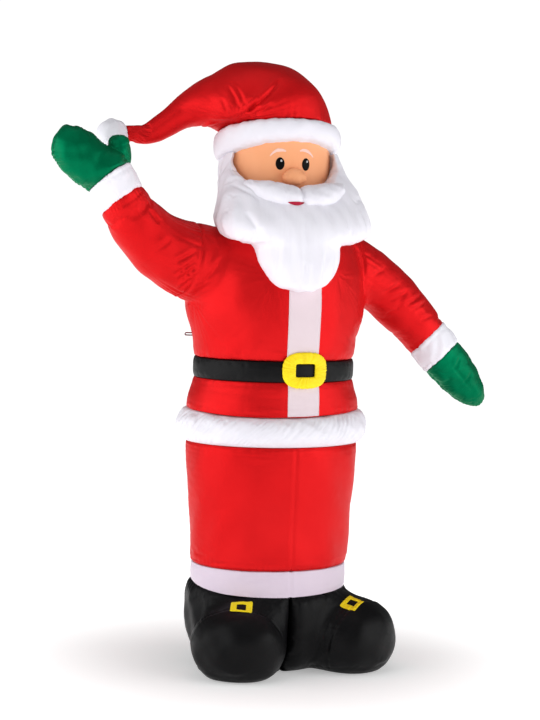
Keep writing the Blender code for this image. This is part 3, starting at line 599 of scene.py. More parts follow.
# the upright seam down the front of the trousers and their cuff
legSeam = {"angle": math.radians(-4.8), "width": 0.006, "dip": 0.0024}


def legSeamDip(spots, normals, angle):
    aside = (angle - legSeam["angle"]) * bodySizes["knee"][0]
    side = bell(aside - 0.014, 0.011) + bell(aside + 0.014, 0.011)
    return legSeam["dip"] * (0.35 * side - bell(aside, legSeam["width"]))


trousersLook = {"sides": 176, "rows": 44, "pucker": 0.0024, "puckerReach": 0.020, "puckers": 52,
                "slack": 0.0026, "give": 0.004, "seed": 4}
bandLook = {"sides": 176, "rows": 14, "pucker": 0.0014, "puckerReach": 0.016, "puckers": 44,
            "slack": 0.0014, "give": 0.0012, "seed": 6}
skirtLook = {"sides": 176, "rows": 16, "pucker": 0.0020, "puckerReach": 0.018, "puckers": 48,
             "slack": 0.0014, "give": 0.0015, "seed": 8}
beltLook = {"sides": 176, "rows": 12, "pucker": 0.0008, "puckerReach": 0.010, "puckers": 36,
            "slack": 0.0008, "give": 0.002, "seed": 9}

for name, node, look, material, slotName, extra in (
        ("trouserDrum", "trousers", trousersLook, redNylon, "red", legSeamDip),
        ("trouserBand", "trouser_cuff", bandLook, bandNylon, "white", legSeamDip),
        ("coatSkirt", "coat_skirt", skirtLook, redNylon, "red", None),
        ("waistBelt", "belt", beltLook, blackNylon, "black", None)):
    section = bodySection(name, node, look)
    details = sectionDetails(node, look, extra)
    sew(section, material, slotName, [node], sectionPins(node), details, look["give"])

# The hem: a fat roll with fine gathers that slant up to the figure's left
hemLook = {"sides": 264, "rows": 22, "slant": 0.040, "gathers": 58, "fineGathers": 97, "depth": 0.0040,
           "fine": 0.0022, "swell": 0.003, "give": 0.005, "seed": 11}


def hemDetails(spots, normals):
    angle, share, reach = bodyShares(spots, "coat_hem")
    share = unit(share)
    turn = (angle / tau - hemLook["slant"] * share) % 1.0
    other = (angle / tau - 1.7 * hemLook["slant"] * share) % 1.0
    patchy = np.clip(0.55 + 0.6 * lumps(spots, 0.10, hemLook["seed"] + 2), 0.1, 1.2)
    full = np.sin(math.pi * share) ** 0.5
    folds = gathers(turn, hemLook["gathers"], hemLook["seed"], 1.0)
    out = hemLook["depth"] * folds * patchy * (0.5 + 0.5 * full)
    fineFolds = gathers(other, hemLook["fineGathers"], hemLook["seed"] + 1, 1.0)
    out += hemLook["fine"] * fineFolds * (1.3 - patchy)
    out += hemLook["swell"] * lumps(spots, 0.08, hemLook["seed"] + 2) * full
    edge = unit((np.minimum(share, 1 - share) - 0.02) / 0.10)
    return out * edge * unit((reach - 0.93) / 0.05)


hem = bodySection("hemRoll", "coat_hem", hemLook)
sew(hem, whiteNylon, "white", ["coat_hem"], sectionPins("coat_hem"), hemDetails, hemLook["give"])
print("trousers, hem, skirt and belt formed")


# Arms: stations are (share, x, y, height over the shoulder's level, radius) from the body's middle
shoulderLevel = 1.575
sleeves = {
    "right": {"stations": ((0.0, -0.18, 0.0, 0.0, 0.150), (0.25, -0.330, 0.0, 0.022, 0.151),
                           (0.43, -0.458, -0.015, 0.062, 0.134), (0.62, -0.557, -0.030, 0.125, 0.117),
                           (0.78, -0.628, -0.045, 0.188, 0.104), (0.90, -0.661, -0.052, 0.228, 0.096),
                           (1.0, -0.684, -0.058, 0.262, 0.091)),
              "seamSpot": (-0.385, 0.0, 1.574), "seamWay": (-0.977, 0.0, 0.215), "folds": 21, "depth": 0.0060,
              "fade": 0.062, "seed": 41,
              "creases": (((-0.475, 1.553), (-0.396, 1.612), 0.0055, 0.007),
                          ((-0.455, 1.530), (-0.392, 1.590), 0.0055, 0.007),
                          ((-0.480, 1.600), (-0.398, 1.646), 0.006, 0.007),
                          ((-0.440, 1.500), (-0.398, 1.545), 0.006, 0.006),
                          ((-0.592, 1.800), (-0.548, 1.748), 0.006, 0.008),
                          ((-0.560, 1.640), (-0.500, 1.690), 0.004, 0.009))},
    "left": {"stations": ((0.0, 0.20, 0.0, 0.075, 0.120), (0.25, 0.350, 0.0, 0.010, 0.117),
                          (0.45, 0.470, 0.0, -0.062, 0.110), (0.62, 0.557, -0.005, -0.137, 0.106),
                          (0.80, 0.623, -0.012, -0.200, 0.098), (1.0, 0.690, -0.020, -0.274, 0.091)),
             "seamSpot": (0.341, 0.0, 1.584), "seamWay": (0.999, 0.0, 0.034), "folds": 17, "depth": 0.0044,
             "fade": 0.050, "seed": 43,
             "creases": (((0.536, 1.443), (0.632, 1.492), 0.0055, 0.007),
                         ((0.560, 1.424), (0.655, 1.462), 0.005, 0.007),
                         ((0.436, 1.490), (0.510, 1.530), 0.006, 0.008),
                         ((0.470, 1.462), (0.545, 1.500), 0.005, 0.007),
                         ((0.610, 1.385), (0.668, 1.405), 0.004, 0.006),
                         ((0.375, 1.560), (0.440, 1.590), 0.004, 0.007))},
}
viewWay = np.array([0.42262, 0.90631, -0.07])


def limbStations(side):
    return tuple((t, x, y, shoulderLevel + rise, r) for t, x, y, rise, r in sleeves[side]["stations"])


def limbFrame(stations, share):
    here = along(stations, share)
    ahead = along(stations, np.minimum(share + 0.004, 1))[:, :3]
    behind = along(stations, np.maximum(share - 0.004, 0))[:, :3]
    way = ahead - behind
    way /= np.linalg.norm(way, axis=1)[:, None]
    wide = np.stack([way[:, 2], np.zeros(len(way)), -way[:, 0]], 1)
    wide /= np.linalg.norm(wide, axis=1)[:, None]
    return here[:, :3] + bodyMid, here[:, 3], way, wide, np.cross(way, wide)


# the cuffs' seams are sewn a little askew: a shift along the arm for each spot beside its line
def askew(aside, way, deep):
    return way * ((aside @ deep) * (viewWay @ way) / (viewWay @ deep))[:, None]


def makeSleeveForm(side):
    stations = limbStations(side)
    tube = addTube("sleeveForm", 72, 40)
    angle, share, inward = tubeShares(tube)
    middle, radius, way, wide, deep = limbFrame(stations, share)
    ring = wide * np.cos(angle)[:, None] + deep * np.sin(angle)[:, None]
    aside = ring * (radius * inward)[:, None]
    ends = limbFrame(stations, np.array([1.0]))
    shift = askew(aside, ends[2][0], ends[4][0]) * (unit((share - 0.55) / 0.45) ** 2)[:, None]
    setPoints(tube, middle + aside + shift)
    faceOut(tube)
    return tube


armEnds = {}
for side in sleeves:
    middle, radius, way, wide, deep = limbFrame(limbStations(side), np.array([1.0]))
    armEnds[side] = {"spot": middle[0], "way": way[0], "wide": wide[0], "deep": deep[0]}


# share along an arm and angle round it, of the nearest spot on its line
def limbShares(spots, side):
    stations = limbStations(side)
    steps = np.linspace(0, 1, 160)
    middle, radius, way, wide, deep = limbFrame(stations, steps)
    nearest = np.empty(len(spots), int)
    for start in range(0, len(spots), 4000):
        gap = spots[start:start + 4000, None, :] - middle[None, :, :]
        nearest[start:start + 4000] = np.argmin((gap**2).sum(2), axis=1)
    aside = spots - middle[nearest]
    angle = np.arctan2((aside * deep[nearest]).sum(1), (aside * wide[nearest]).sum(1))
    return steps[nearest], angle


# how far a spot lies past the armhole's seam, out along the arm
def pastArmhole(spots, side):
    look = sleeves[side]
    past = (spots - np.array(look["seamSpot"])) @ np.array(look["seamWay"])
    return np.where(spots[:, 2] > 1.30, past, -1.0)


# fans of folds: angle round the body, level, count, depth, reach and seed
coatLook = {
    "sides": 150, "rows": 52, "pucker": 0.0022, "puckerReach": 0.018, "puckers": 48, "slack": 0.0024,
    "seed": 15, "voxel": 0.0111, "give": 0.005,
    "fans": ((-1.45, 1.455, 19, 0.0040, 0.085, 21), (1.40, 1.440, 19, 0.0040, 0.085, 22),
             (-0.36, 1.560, 17, 0.0026, 0.070, 26), (0.40, 1.565, 17, 0.0030, 0.080, 27),
             (math.pi, 1.60, 15, 0.0020, 0.12, 28)),
}



def makeCoat():
    coat = bodySection("upperCoat", "coat_body", coatLook)
    faceOut(coat)
    core = coat.copy()
    core.data = coat.data.copy()
    core.name = "coatCore"
    bpy.context.collection.objects.link(core)
    for side in sleeves:
        sleeve = makeSleeveForm(side)
        cut(coat, "UNION", sleeve)
        discard(sleeve)
    remesh(coat, coatLook["voxel"], 3)
    fillHollows(coat, 14, lambda spots: (spots[:, 2] > 1.32) & (np.abs(spots[:, 0] - bodyX) > 0.15))
    return coat, core


coat, coatCore = makeCoat()
coatDetails = sectionDetails("coat_body", coatLook)


def upperDetails(spots, normals):
    angle = bodyShares(spots, "coat_body")[0]
    onArm = np.maximum(pastArmhole(spots, "right"), pastArmhole(spots, "left"))
    out = coatDetails(spots, normals) * unit(1 - onArm / 0.02)
    for side in sleeves:
        look = sleeves[side]
        past = pastArmhole(spots, side)
        near = past > -0.12
        share, around = limbShares(spots[near], side)
        gap = np.abs(past[near])
        turn = turnOf(around)
        outer = past[near] > 0
        depth = np.where(outer, look["depth"], 0.35 * look["depth"])
        fade = np.where(outer, look["fade"], 0.5 * look["fade"])
        fold = depth * np.exp(-gap / fade) * gathers(turn, look["folds"], look["seed"], 0.9)
        fold *= 1 - bell(gap, 0.006)
        fold -= 0.0046 * bell(gap, 0.0055)
        end = (1 - share) * 0.75
        fold += (0.0026 * np.exp(-end / 0.028) * gathers(turn, 27, look["seed"] + 1)
                 - 0.003 * bell(end, 0.007)) * outer
        fold += 0.0020 * lumps(spots[near], 0.12, look["seed"]) * unit(gap / 0.03) * outer
        out[near] += fold
        out += creases(spots, normals, look["creases"])
    # folds that fan out from the armpits over the chest, and from under the beard
    onChest = unit(-onArm / 0.02)
    for spotAngle, level, count, depth, reachOut, seed in coatLook["fans"]:
        aside = np.angle(np.exp(1j * (angle - spotAngle))) * chestWide
        out += onChest * depth * fan(aside, spots[:, 2] - level, count, reachOut, seed)
    return out


def upperPins(spots):
    low, high = levels("coat_body")
    reach = bodyShares(spots, "coat_body")[2]
    held = (spots[:, 2] < low + 0.010) | ((spots[:, 2] > high - 0.03) & (reach < 1.05))
    for side in sleeves:
        held |= np.abs(pastArmhole(spots, side)) < 0.006
        held |= (spots - armEnds[side]["spot"]) @ armEnds[side]["way"] > -0.022
    return held


sew(coat, redNylon, "red", ["coat_body", "sleeve_right", "sleeve_left"], upperPins, upperDetails,
    coatLook["give"])
print("coat and sleeves formed")

cuffLook = {"length": 0.094, "radius": 0.095, "overlap": 0.010, "puckers": 26, "pucker": 0.0022}


def makeCuff(name, side, seed):
    end = armEnds[side]
    start = end["spot"]
    overlap = cuffLook["overlap"]
    tube = addTube(name, 96, 14)
    angle, share, inward = tubeShares(tube, 0.3)
    swell = np.sin(math.pi * share) ** 0.4
    radius = cuffLook["radius"] * (0.95 + 0.05 * swell)
    ring = end["wide"] * np.cos(angle)[:, None] + end["deep"] * np.sin(angle)[:, None]
    aside = ring * (radius * inward)[:, None]
    spots = start + end["way"] * (share * (cuffLook["length"] + overlap) - overlap)[:, None] + aside
    setPoints(tube, spots + askew(aside, end["way"], end["deep"]))

    def cuffShares(spots):
        aside = spots - start
        reach = aside @ end["way"]
        aside = aside - end["way"] * reach[:, None]
        reach = reach - askew(aside, end["way"], end["deep"]) @ end["way"]
        around = np.arctan2(aside @ end["deep"], aside @ end["wide"])
        return (reach + overlap) / (cuffLook["length"] + overlap), around, np.linalg.norm(aside, axis=1)

    def details(spots, normals):
        share, around, far = cuffShares(spots)
        gap = unit(np.minimum(share, 1 - share)) * cuffLook["length"]
        folds = gathers(turnOf(around), cuffLook["puckers"], seed)
        out = cuffLook["pucker"] * np.exp(-gap / 0.016) * folds
        out += 0.0016 * lumps(spots, 0.05, seed)
        return out * (far > 0.8 * cuffLook["radius"])

    def pinned(spots):
        share, around, far = cuffShares(spots)
        return (share < 0.06) | (share > 0.94) | (far < 0.8 * cuffLook["radius"])

    sew(tube, whiteNylon, "white", ["cuff_" + side], pinned, details, 0.004)
    return start + end["way"] * (cuffLook["length"] + 0.0006)


wrists = {"right": makeCuff("cuffRight", "right", 51), "left": makeCuff("cuffLeft", "left", 52)}

# Mittens: two panels each, puckered round their outline; palm rows are share of the length,
# half-width, offset and half-depth
mittenLook = {"length": 0.266, "thick": 0.145, "thumbRadius": 0.0435, "thumbReach": 0.122, "scallop": 0.0034,
              "pitch": 0.023, "voxel": 0.0062}
palms = {
    "right": ((0.0, 0.96, 0.0, 0.60), (0.12, 1.0, -0.06, 0.60), (0.38, 0.97, -0.26, 0.52),
              (0.6, 0.96, -0.25, 0.50), (0.76, 0.86, -0.22, 0.46), (0.88, 0.68, -0.17, 0.36),
              (0.96, 0.44, -0.09, 0.23), (1.0, 0.0, -0.06, 0.0)),
    "left": ((0.0, 0.94, 0.0, 0.60), (0.2, 0.93, -0.01, 0.60), (0.4, 0.88, -0.01, 0.55),
             (0.62, 0.76, 0.0, 0.48), (0.8, 0.60, 0.0, 0.40), (0.92, 0.42, 0.0, 0.28),
             (0.98, 0.23, 0.0, 0.15), (1.0, 0.0, 0.0, 0.0)),
}
handWays = {"right": np.array([-0.773, -0.04, 0.634]), "left": armEnds["left"]["way"]}
handWays["right"] = handWays["right"] / np.linalg.norm(handWays["right"])


# the hand leaves square to the cuff, bends to its own line and ends round
def makePalm(name, side):
    start, way, hand = wrists[side], armEnds[side]["way"], handWays[side]
    tube = addTube(name, 80, 48)
    angle, share, inward = tubeShares(tube)
    share = 1 - (1 - share) ** 1.35

    def middleAt(s):
        s = s[:, None]
        return start + (hand * s + (way - hand) * s * (1 - s) ** 2) * mittenLook["length"]

    size = along(palms[side], share)
    aim = middleAt(share + 0.01) - middleAt(share - 0.01)
    aim /= np.linalg.norm(aim, axis=1)[:, None]
    across = np.stack([aim[:, 2], np.zeros(len(aim)), -aim[:, 0]], 1)
    across /= np.linalg.norm(across, axis=1)[:, None]
    deep = np.cross(aim, across)
    middle = middleAt(share) + across * (size[:, 1] * cuffLook["radius"])[:, None]
    roundShare = unit(1 - share / 0.3)
    depth = size[:, 2] * mittenLook["thick"] * (1 - roundShare) + 0.94 * cuffLook["radius"] * roundShare
    aside = across * (size[:, 0] * cuffLook["radius"] * np.cos(angle) * inward)[:, None]
    aside = aside + deep * (depth * np.sin(angle) * inward)[:, None]
    shift = askew(aside, way, armEnds[side]["deep"]) * (unit(1 - share / 0.6) ** 1.5)[:, None]
    setPoints(tube, middle + aside + shift)
    faceOut(tube)
    return tube


def makeThumb():
    hand = handWays["right"]
    across = np.array([hand[2], 0, -hand[0]]) / math.hypot(hand[2], hand[0])
    root = wrists["right"] - hand * 0.002 + across * 0.055
    aim = hand * 0.66 + across * 0.75
    aim /= np.linalg.norm(aim)
    tube = addTube("thumbForm", 48, 24)
    angle, share, inward = tubeShares(tube)
    width = along(((0.0, 0.95), (0.3, 1.08), (0.55, 1.02), (0.72, 0.94), (0.85, 0.80), (0.94, 0.56),
                   (0.985, 0.30), (1.0, 0.0)), share)[:, 0] * mittenLook["thumbRadius"]
    wide = np.array([aim[2], 0, -aim[0]]) / math.hypot(aim[2], aim[0])
    ring = wide * np.cos(angle)[:, None] + np.cross(aim, wide) * (1.1 * np.sin(angle))[:, None]
    spots = root + aim * (share * mittenLook["thumbReach"])[:, None] + ring * (width * inward)[:, None]
    setPoints(tube, spots)
    faceOut(tube)
    return tube


# which side of the seam plane a spot of the mitten is, and how far along and round the hand
def mittenShares(spots, side):
    hand = handWays[side]
    fromWrist = spots - wrists[side]
    reach = fromWrist @ hand
    across = np.array([hand[2], 0, -hand[0]]) / math.hypot(hand[2], hand[0])
    off = np.abs(fromWrist @ np.cross(hand, across))
    centre = wrists[side] + hand * 0.12
    around = np.arctan2(spots[:, 2] - centre[2], spots[:, 0] - centre[0]) / tau + 0.5
    return reach, off, around


def mittenDetails(side, seed, lines):
    def details(spots, normals):
        reach, off, around = mittenShares(spots, side)
        wave = gathers(around % 1.0, round(0.66 / mittenLook["pitch"]), seed, 0.9)
        clear = unit(reach / 0.03)
        out = mittenLook["scallop"] * wave * np.exp(-off / 0.026) - 0.0034 * bell(off, 0.009)
        out += 0.0022 * lumps(spots, 0.07, seed)
        out += 0.0024 * np.exp(-reach / 0.02) * gathers(around % 1.0, 24, seed + 1)
        out += creases(spots, normals, lines) * clear
        return out * clear

    return details


def mittenPins(side):
    def pinned(spots):
        reach, off = mittenShares(spots, side)[:2]
        return (reach < 0.012) | (off < 0.0045)

    return pinned


mittenRight = makePalm("mittenRight", "right")
thumb = makeThumb()
cut(mittenRight, "UNION", thumb)
discard(thumb)
remesh(mittenRight, mittenLook["voxel"], 1)
rightCreases = (((-0.760, 1.930), (-0.715, 1.955), 0.005, 0.007),
                ((-0.745, 1.915), (-0.720, 1.925), 0.004, 0.006))
sew(mittenRight, greenNylon, "green", ["mitten_right"], mittenPins("right"),
    mittenDetails("right", 61, rightCreases), 0.008)
mittenLeft = makePalm("mittenLeft", "left")
remesh(mittenLeft, mittenLook["voxel"], 1)
leftCreases = (((0.745, 1.215), (0.880, 1.085), 0.004, 0.008), ((0.770, 1.180), (0.800, 1.235), 0.004, 0.007),
               ((0.820, 1.120), (0.860, 1.170), 0.004, 0.007))
sew(mittenLeft, greenNylon, "green", ["mitten_left"], mittenPins("left"),
    mittenDetails("left", 62, leftCreases), 0.007)
print("cuffs and mittens formed")


# Head, hat and beard share the head's own frame, turned a little towards the raised arm
headPose = {"turn": math.radians(6.5), "shift": -0.012, "sideSlope": 0.005, "frontSlope": 0.18}
headBase = levels("head")[0]
headLook = {"radius": 0.212, "trim": 0.249, "hat": 0.214, "height": 0.232, "trimHeight": 0.1147,
            "tuck": 0.034, "trimPucker": 0.0022, "trimPuckers": 46}
trimBase = headBase + headLook["height"]
hatBase = trimBase + 0.115
headShape = ((0, 0.190), (0.15, 0.200), (0.45, headLook["radius"]), (0.8, headLook["radius"]),
             (1, headLook["radius"] - 0.004))


def headPoints(x, y, z):
    c = math.cos(headPose["turn"])
    s = math.sin(headPose["turn"])
    return np.stack([bodyX + x * c + y * s + headPose["shift"], bodyY + y * c - x * s, z], 1)


# back from the part's frame to the head's own x, y and z
def headShares(spots):
    c = math.cos(headPose["turn"])
    s = math.sin(headPose["turn"])
    dx = spots[:, 0] - bodyX - headPose["shift"]
    dy = spots[:, 1] - bodyY
    return dx * c - dy * s, dx * s + dy * c, spots[:, 2]


def tilted(x, y, z, share=1.0):
    return z + share * (headPose["sideSlope"] * x - headPose["frontSlope"] * y)


def headRadius(share):
    return along(headShape, share)[:, 0]


def makeHead(name, smaller=0.0):
    tube = addTube(name, 144, 40)
    angle, share, inward = tubeShares(tube)
    radius = (headRadius(share) - smaller) * inward
    x = radius * np.sin(angle)
    y = -radius * np.cos(angle)
    level = headBase + share * (headLook["height"] + headLook["tuck"])
    setPoints(tube, headPoints(x, y, tilted(x, y, level, share)))
    faceOut(tube)
    return tube


def makeTrim():
    tube = addTube("hatTrim", 168, 22)
    angle, share, inward = tubeShares(tube, 0.4)
    swell = np.sin(math.pi * share) ** 0.36
    seam = headLook["hat"] - 0.001
    radius = (seam + (headLook["trim"] - seam) * swell) * inward
    x = radius * np.sin(angle)
    y = -radius * np.cos(angle)
    # the lower seam arches up over the forehead
    arch = 0.026 * unit(np.cos(angle - 0.10)) ** 1.6 * (1 - share) ** 1.2 * inward
    level = trimBase + share * headLook["trimHeight"] + arch
    setPoints(tube, headPoints(x, y, tilted(x, y, level)))
    return tube


def trimShares(spots):
    x, y, z = headShares(spots)
    share = (z - tilted(x, y, trimBase)) / headLook["trimHeight"]
    return np.arctan2(x, -y), share, np.hypot(x, y)


def trimDetails(spots, normals):
    angle, share, far = trimShares(spots)
    gap = unit(np.minimum(share, 1 - share)) * headLook["trimHeight"]
    folds = gathers(turnOf(angle), headLook["trimPuckers"], 71)
    out = headLook["trimPucker"] * np.exp(-gap / 0.02) * folds
    out += 0.0016 * lumps(spots, 0.07, 72)
    return out * (far > 0.9 * headLook["radius"])


def trimPins(spots):
    return trimShares(spots)[2] < 0.95 * headLook["hat"]


head = makeHead("headForm")
sew(makeTrim(), whiteNylon, "white", ["hat_trim"], trimPins, trimDetails, 0.003)

# hat stations: share, then x, y and height above the trim, radius and the section's lean in degrees
hatFold = (
    (0.00, -0.002, 0.000, 0.000, 0.214, 0.5), (0.10, -0.050, 0.000, 0.068, 0.217, 17.0),
    (0.19, -0.098, 0.000, 0.107, 0.204, 30.0), (0.28, -0.167, 0.000, 0.128, 0.174, 45.0),
    (0.36, -0.237, 0.005, 0.127, 0.139, 61.0), (0.44, -0.302, 0.020, 0.101, 0.101, 78.0),
    (0.52, -0.347, 0.032, 0.078, 0.080, 90.0), (0.60, -0.395, 0.045, 0.044, 0.060, 106.0),
    (0.68, -0.445, 0.055, 0.006, 0.049, 117.0), (0.78, -0.487, 0.065, -0.020, 0.043, 116.0),
    (0.88, -0.530, 0.075, -0.032, 0.038, 106.0), (1.00, -0.592, 0.085, -0.035, 0.032, 98.0),
)
hatLook = {"bagRadius": 0.061, "corner": (-0.232, 2.152), "bulge": 0.010,
           "creases": (((-0.222, 2.162), (-0.075, 2.310), 0.010, 0.0065),
                       ((-0.200, 2.175), (-0.165, 2.245), 0.008, 0.006),
                       ((-0.262, 2.285), (-0.232, 2.195), 0.008, 0.006),
                       ((-0.285, 2.235), (-0.262, 2.170), 0.006, 0.006),
                       ((-0.180, 2.170), (-0.120, 2.215), 0.006, 0.006),
                       ((-0.245, 2.300), (-0.215, 2.205), 0.006, 0.006))}


def makeHat():
    tube = addTube("hatCone", 112, 84)
    angle, share, inward = tubeShares(tube)
    size = along(hatFold, share)
    lean = np.radians(size[:, 4])
    fade = unit(1 - share / 0.28)
    nought = np.zeros(len(share))
    across = np.stack([np.cos(lean), nought, np.sin(lean)], 1)
    deep = np.stack([nought, nought + 1, -headPose["frontSlope"] * fade], 1)
    bulge = hatLook["bulge"] * unit(np.cos(angle)) * np.sin(math.pi * unit(share / 0.42)) ** 0.8
    radius = size[:, 3] + bulge
    ring = across * np.cos(angle)[:, None] + deep * np.sin(angle)[:, None]
    spot = np.stack([size[:, 0], size[:, 1], hatBase + size[:, 2]], 1) + ring * (radius * inward)[:, None]
    setPoints(tube, headPoints(*spot.T))
    return tube


def hatSeamGap(spots):
    x, y, z = headShares(spots)
    return z - tilted(x, y, hatBase), np.arctan2(x, -y)


def hatDetails(spots, normals):
    gap, angle = hatSeamGap(spots)
    near = unit(gap)
    onBand = np.abs(spots[:, 0] - bodyX) < 0.24
    out = 0.0030 * np.exp(-near / 0.03) * gathers(turnOf(angle), 38, 81) * onBand
    gapX = spots[:, 0] - hatLook["corner"][0]
    gapZ = spots[:, 2] - hatLook["corner"][1]
    out += 0.0050 * fan(gapX, gapZ, 25, 0.075, 83)
    out += 0.0022 * lumps(spots, 0.16, 84)
    out += creases(spots, normals, hatLook["creases"])
    return out * unit((gap + 0.02) / 0.02)


def hatPins(spots):
    gap = hatSeamGap(spots)[0]
    corner = np.hypot(spots[:, 0] - hatLook["corner"][0], spots[:, 2] - hatLook["corner"][1]) < 0.035
    return ((gap < 0.010) & (np.abs(spots[:, 0] - bodyX) < 0.24)) | corner | (spots[:, 0] < -0.575)


def makeBag():
    radius = hatLook["bagRadius"]
    x, y, rise, neck, lean = along(hatFold, np.array([1.0]))[0]
    lean = math.radians(lean)
    outward = np.array([-math.sin(lean), 0, math.cos(lean)])
    across = np.array([math.cos(lean), 0, math.sin(lean)])
    opening = math.asin(neck / radius)
    tube = addTube("hatBag", 56, 26)
    angle, share, inward = tubeShares(tube)
    turn = opening + (math.pi - opening) * share
    reach = radius * (math.cos(opening) - np.cos(turn)) * 1.04
    ringRadius = radius * np.sin(turn) * inward * 1.02
    start = np.array([x, y, hatBase + rise]) + outward * 0.0003
    spot = start + outward * reach[:, None] + across * (ringRadius * np.cos(angle))[:, None]
    spot = spot + np.array([0.0, 1.0, 0.0]) * (ringRadius * np.sin(angle))[:, None]
    setPoints(tube, headPoints(*spot.T))
    return tube


def bagDetails(spots, normals):
    low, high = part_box("hat_bag")
    share = (high.x - spots[:, 0]) / (high.x - low.x)
    around = np.arctan2(spots[:, 2] - (low.z + high.z) / 2, spots[:, 1] - (low.y + high.y) / 2)
    out = 0.003 * gathers(turnOf(around), 15, 91) * np.exp(-unit(share) / 0.3)
    return out + 0.002 * lumps(spots, 0.05, 92)


def bagPins(spots):
    return spots[:, 0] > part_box("hat_bag")[1].x - 0.012


sew(makeHat(), redNylon, "red", ["hat"], hatPins, hatDetails, 0.006)
sew(makeBag(), whiteNylon, "white", ["hat_bag"], bagPins, bagDetails, 0.004)
print("head and hat formed")

# beard stations: share of height from its lower tip, half-width as a share, then the depths of its
# widest line, its front and its back, and how far its middle stands to the figure's left
beardLook = {
    "drop": 0.274, "width": 0.640, "voxel": 0.0082, "tuck": 0.022,
    "creases": (((-0.265, 1.905), (-0.195, 1.845), 0.006, 0.007),
                ((-0.255, 1.800), (-0.215, 1.700), 0.004, 0.009),
                ((0.030, 1.640), (0.020, 1.540), 0.004, 0.008),
                ((0.215, 1.850), (0.240, 1.720), 0.004, 0.009),
                ((-0.060, 1.620), (-0.045, 1.530), 0.004, 0.008)),
    "stations": (
        (0.000, 0.14, -0.300, -0.372, -0.22, 0.008), (0.035, 0.30, -0.290, -0.384, -0.19, 0.009),
        (0.110, 0.415, -0.275, -0.392, -0.15, 0.011), (0.210, 0.500, -0.265, -0.396, -0.12, 0.011),
        (0.330, 0.535, -0.255, -0.392, -0.08, 0.009), (0.350, 0.57, -0.250, -0.392, -0.05, 0.006),
        (0.372, 0.78, -0.242, -0.390, 0.0, 0.008), (0.415, 0.900, -0.240, -0.386, 0.13, 0.011),
        (0.490, 0.935, -0.236, -0.376, 0.21, 0.012), (0.580, 0.905, -0.225, -0.348, 0.238, 0.013),
        (0.680, 0.860, -0.200, -0.300, 0.246, 0.012), (0.800, 0.795, -0.130, -0.262, 0.246, 0.008),
        (0.900, 0.745, -0.070, -0.240, 0.242, 0.003), (1.000, 0.715, -0.030, -0.230, 0.236, 0.0)),
    "faceRight": 0.190, "faceFront": 0.390, "faceLeft": 0.192, "faceHalfHeight": 0.128, "faceDrop": 0.012,
}


def makeBeardForm():
    tube = addTube("beardPuff", 150, 100)
    angle, share, inward = tubeShares(tube)
    size = along(beardLook["stations"], share)
    low = headBase - beardLook["drop"]
    level = low + share * (trimBase + 0.006 - low)
    half = size[:, 0] * beardLook["width"] / 2
    depth = np.where(np.cos(angle) > 0, size[:, 1] - size[:, 2], size[:, 3] - size[:, 1])
    x = size[:, 4] + half * np.sin(angle) * inward
    y = size[:, 1] - depth * np.cos(angle) * inward
    slant = unit((share - 0.5) / 0.5) ** 1.5
    setPoints(tube, headPoints(x, y, tilted(x, y, level, slant)))
    faceOut(tube)
    return tube


# the oval through which the face shows; it widens towards the front at the figure's right
def makeFaceBar():
    bar = addTube("faceBar", 96, 3)
    angle, share, inward = tubeShares(bar)
    right = beardLook["faceRight"] + (beardLook["faceFront"] - beardLook["faceRight"]) * (1 - share)
    wide = np.where(np.sin(angle) < 0, right, beardLook["faceLeft"])
    x = wide * np.sin(angle) * inward
    y = -0.60 + share * 0.57
    z = trimBase - beardLook["faceDrop"] + beardLook["faceHalfHeight"] * np.cos(angle) * inward
    setPoints(bar, headPoints(x, y, z))
    faceOut(bar)
    return bar


def makeBeard():
    beard = makeBeardForm()
    bar = makeFaceBar()
    core = makeHead("headCore", beardLook["tuck"])
    for other in (coatCore, core, bar):
        cut(beard, "DIFFERENCE", other)
    discard(bar, core)
    remesh(beard, beardLook["voxel"], 3)
    return beard


def beardDetails(spots, normals):
    x, y, z = headShares(spots)
    front = unit(-normals[:, 1] * 1.6)
    below = unit((1.85 - z) / 0.08)
    turn = (x * 1.1 + 0.5 + 0.06 * (1.8 - z)) % 1.0
    out = 0.0006 * gathers(turn, 13, 101, 1.3) * front * below
    tongue = np.exp(-np.abs(z - 1.535) / 0.05) * (np.abs(x) < 0.2)
    out += 0.0020 * tongue * gathers(turn, 19, 104, 1.0) * front
    out += 0.0034 * lumps(spots * np.array([1.5, 1.5, 0.6]), 0.11, 103)
    lobe = np.exp(-np.abs(z - 1.70) / 0.03) * (np.abs(x) > 0.17)
    out += 0.0014 * lobe * gathers(turn, 29, 105, 1.0)
    return out + creases(spots, normals, beardLook["creases"])


def beardPins(spots):
    x, y, z = headShares(spots)
    size = along(((0.0, 0.19), (0.2, 0.212), (1.0, 0.212)), (z - headBase) / headLook["height"])[:, 0]
    nearHead = np.hypot(x, y) < size + 0.004
    nearCoat = (bodyShares(spots, "coat_body")[2] < 1.03) & (z < headBase)
    return nearHead | nearCoat | (z > tilted(x, y, trimBase) - 0.010)


beard = makeBeard()
discard(coatCore)
sew(beard, whiteNylon, "white", ["beard"], beardPins, beardDetails, 0.007)
finish(head, skinNylon, ["head"])

# heights, rises and fronts run from the middle to the tip of each half
moustacheLook = {
    "width": 0.440, "height": 0.104, "drop": 0.150, "aside": 0.006,
    "heights": ((0.0, 0.34), (0.10, 0.44), (0.45, 0.50), (0.8, 0.33), (0.95, 0.16), (1.0, 0.02)),
    "rises": ((0.0, -0.005), (0.25, -0.002), (0.6, 0.012), (1.0, 0.042)),
    "fronts": ((0.0, 0.332), (0.10, 0.345), (0.5, 0.334), (0.8, 0.282), (1.0, 0.205)),
}


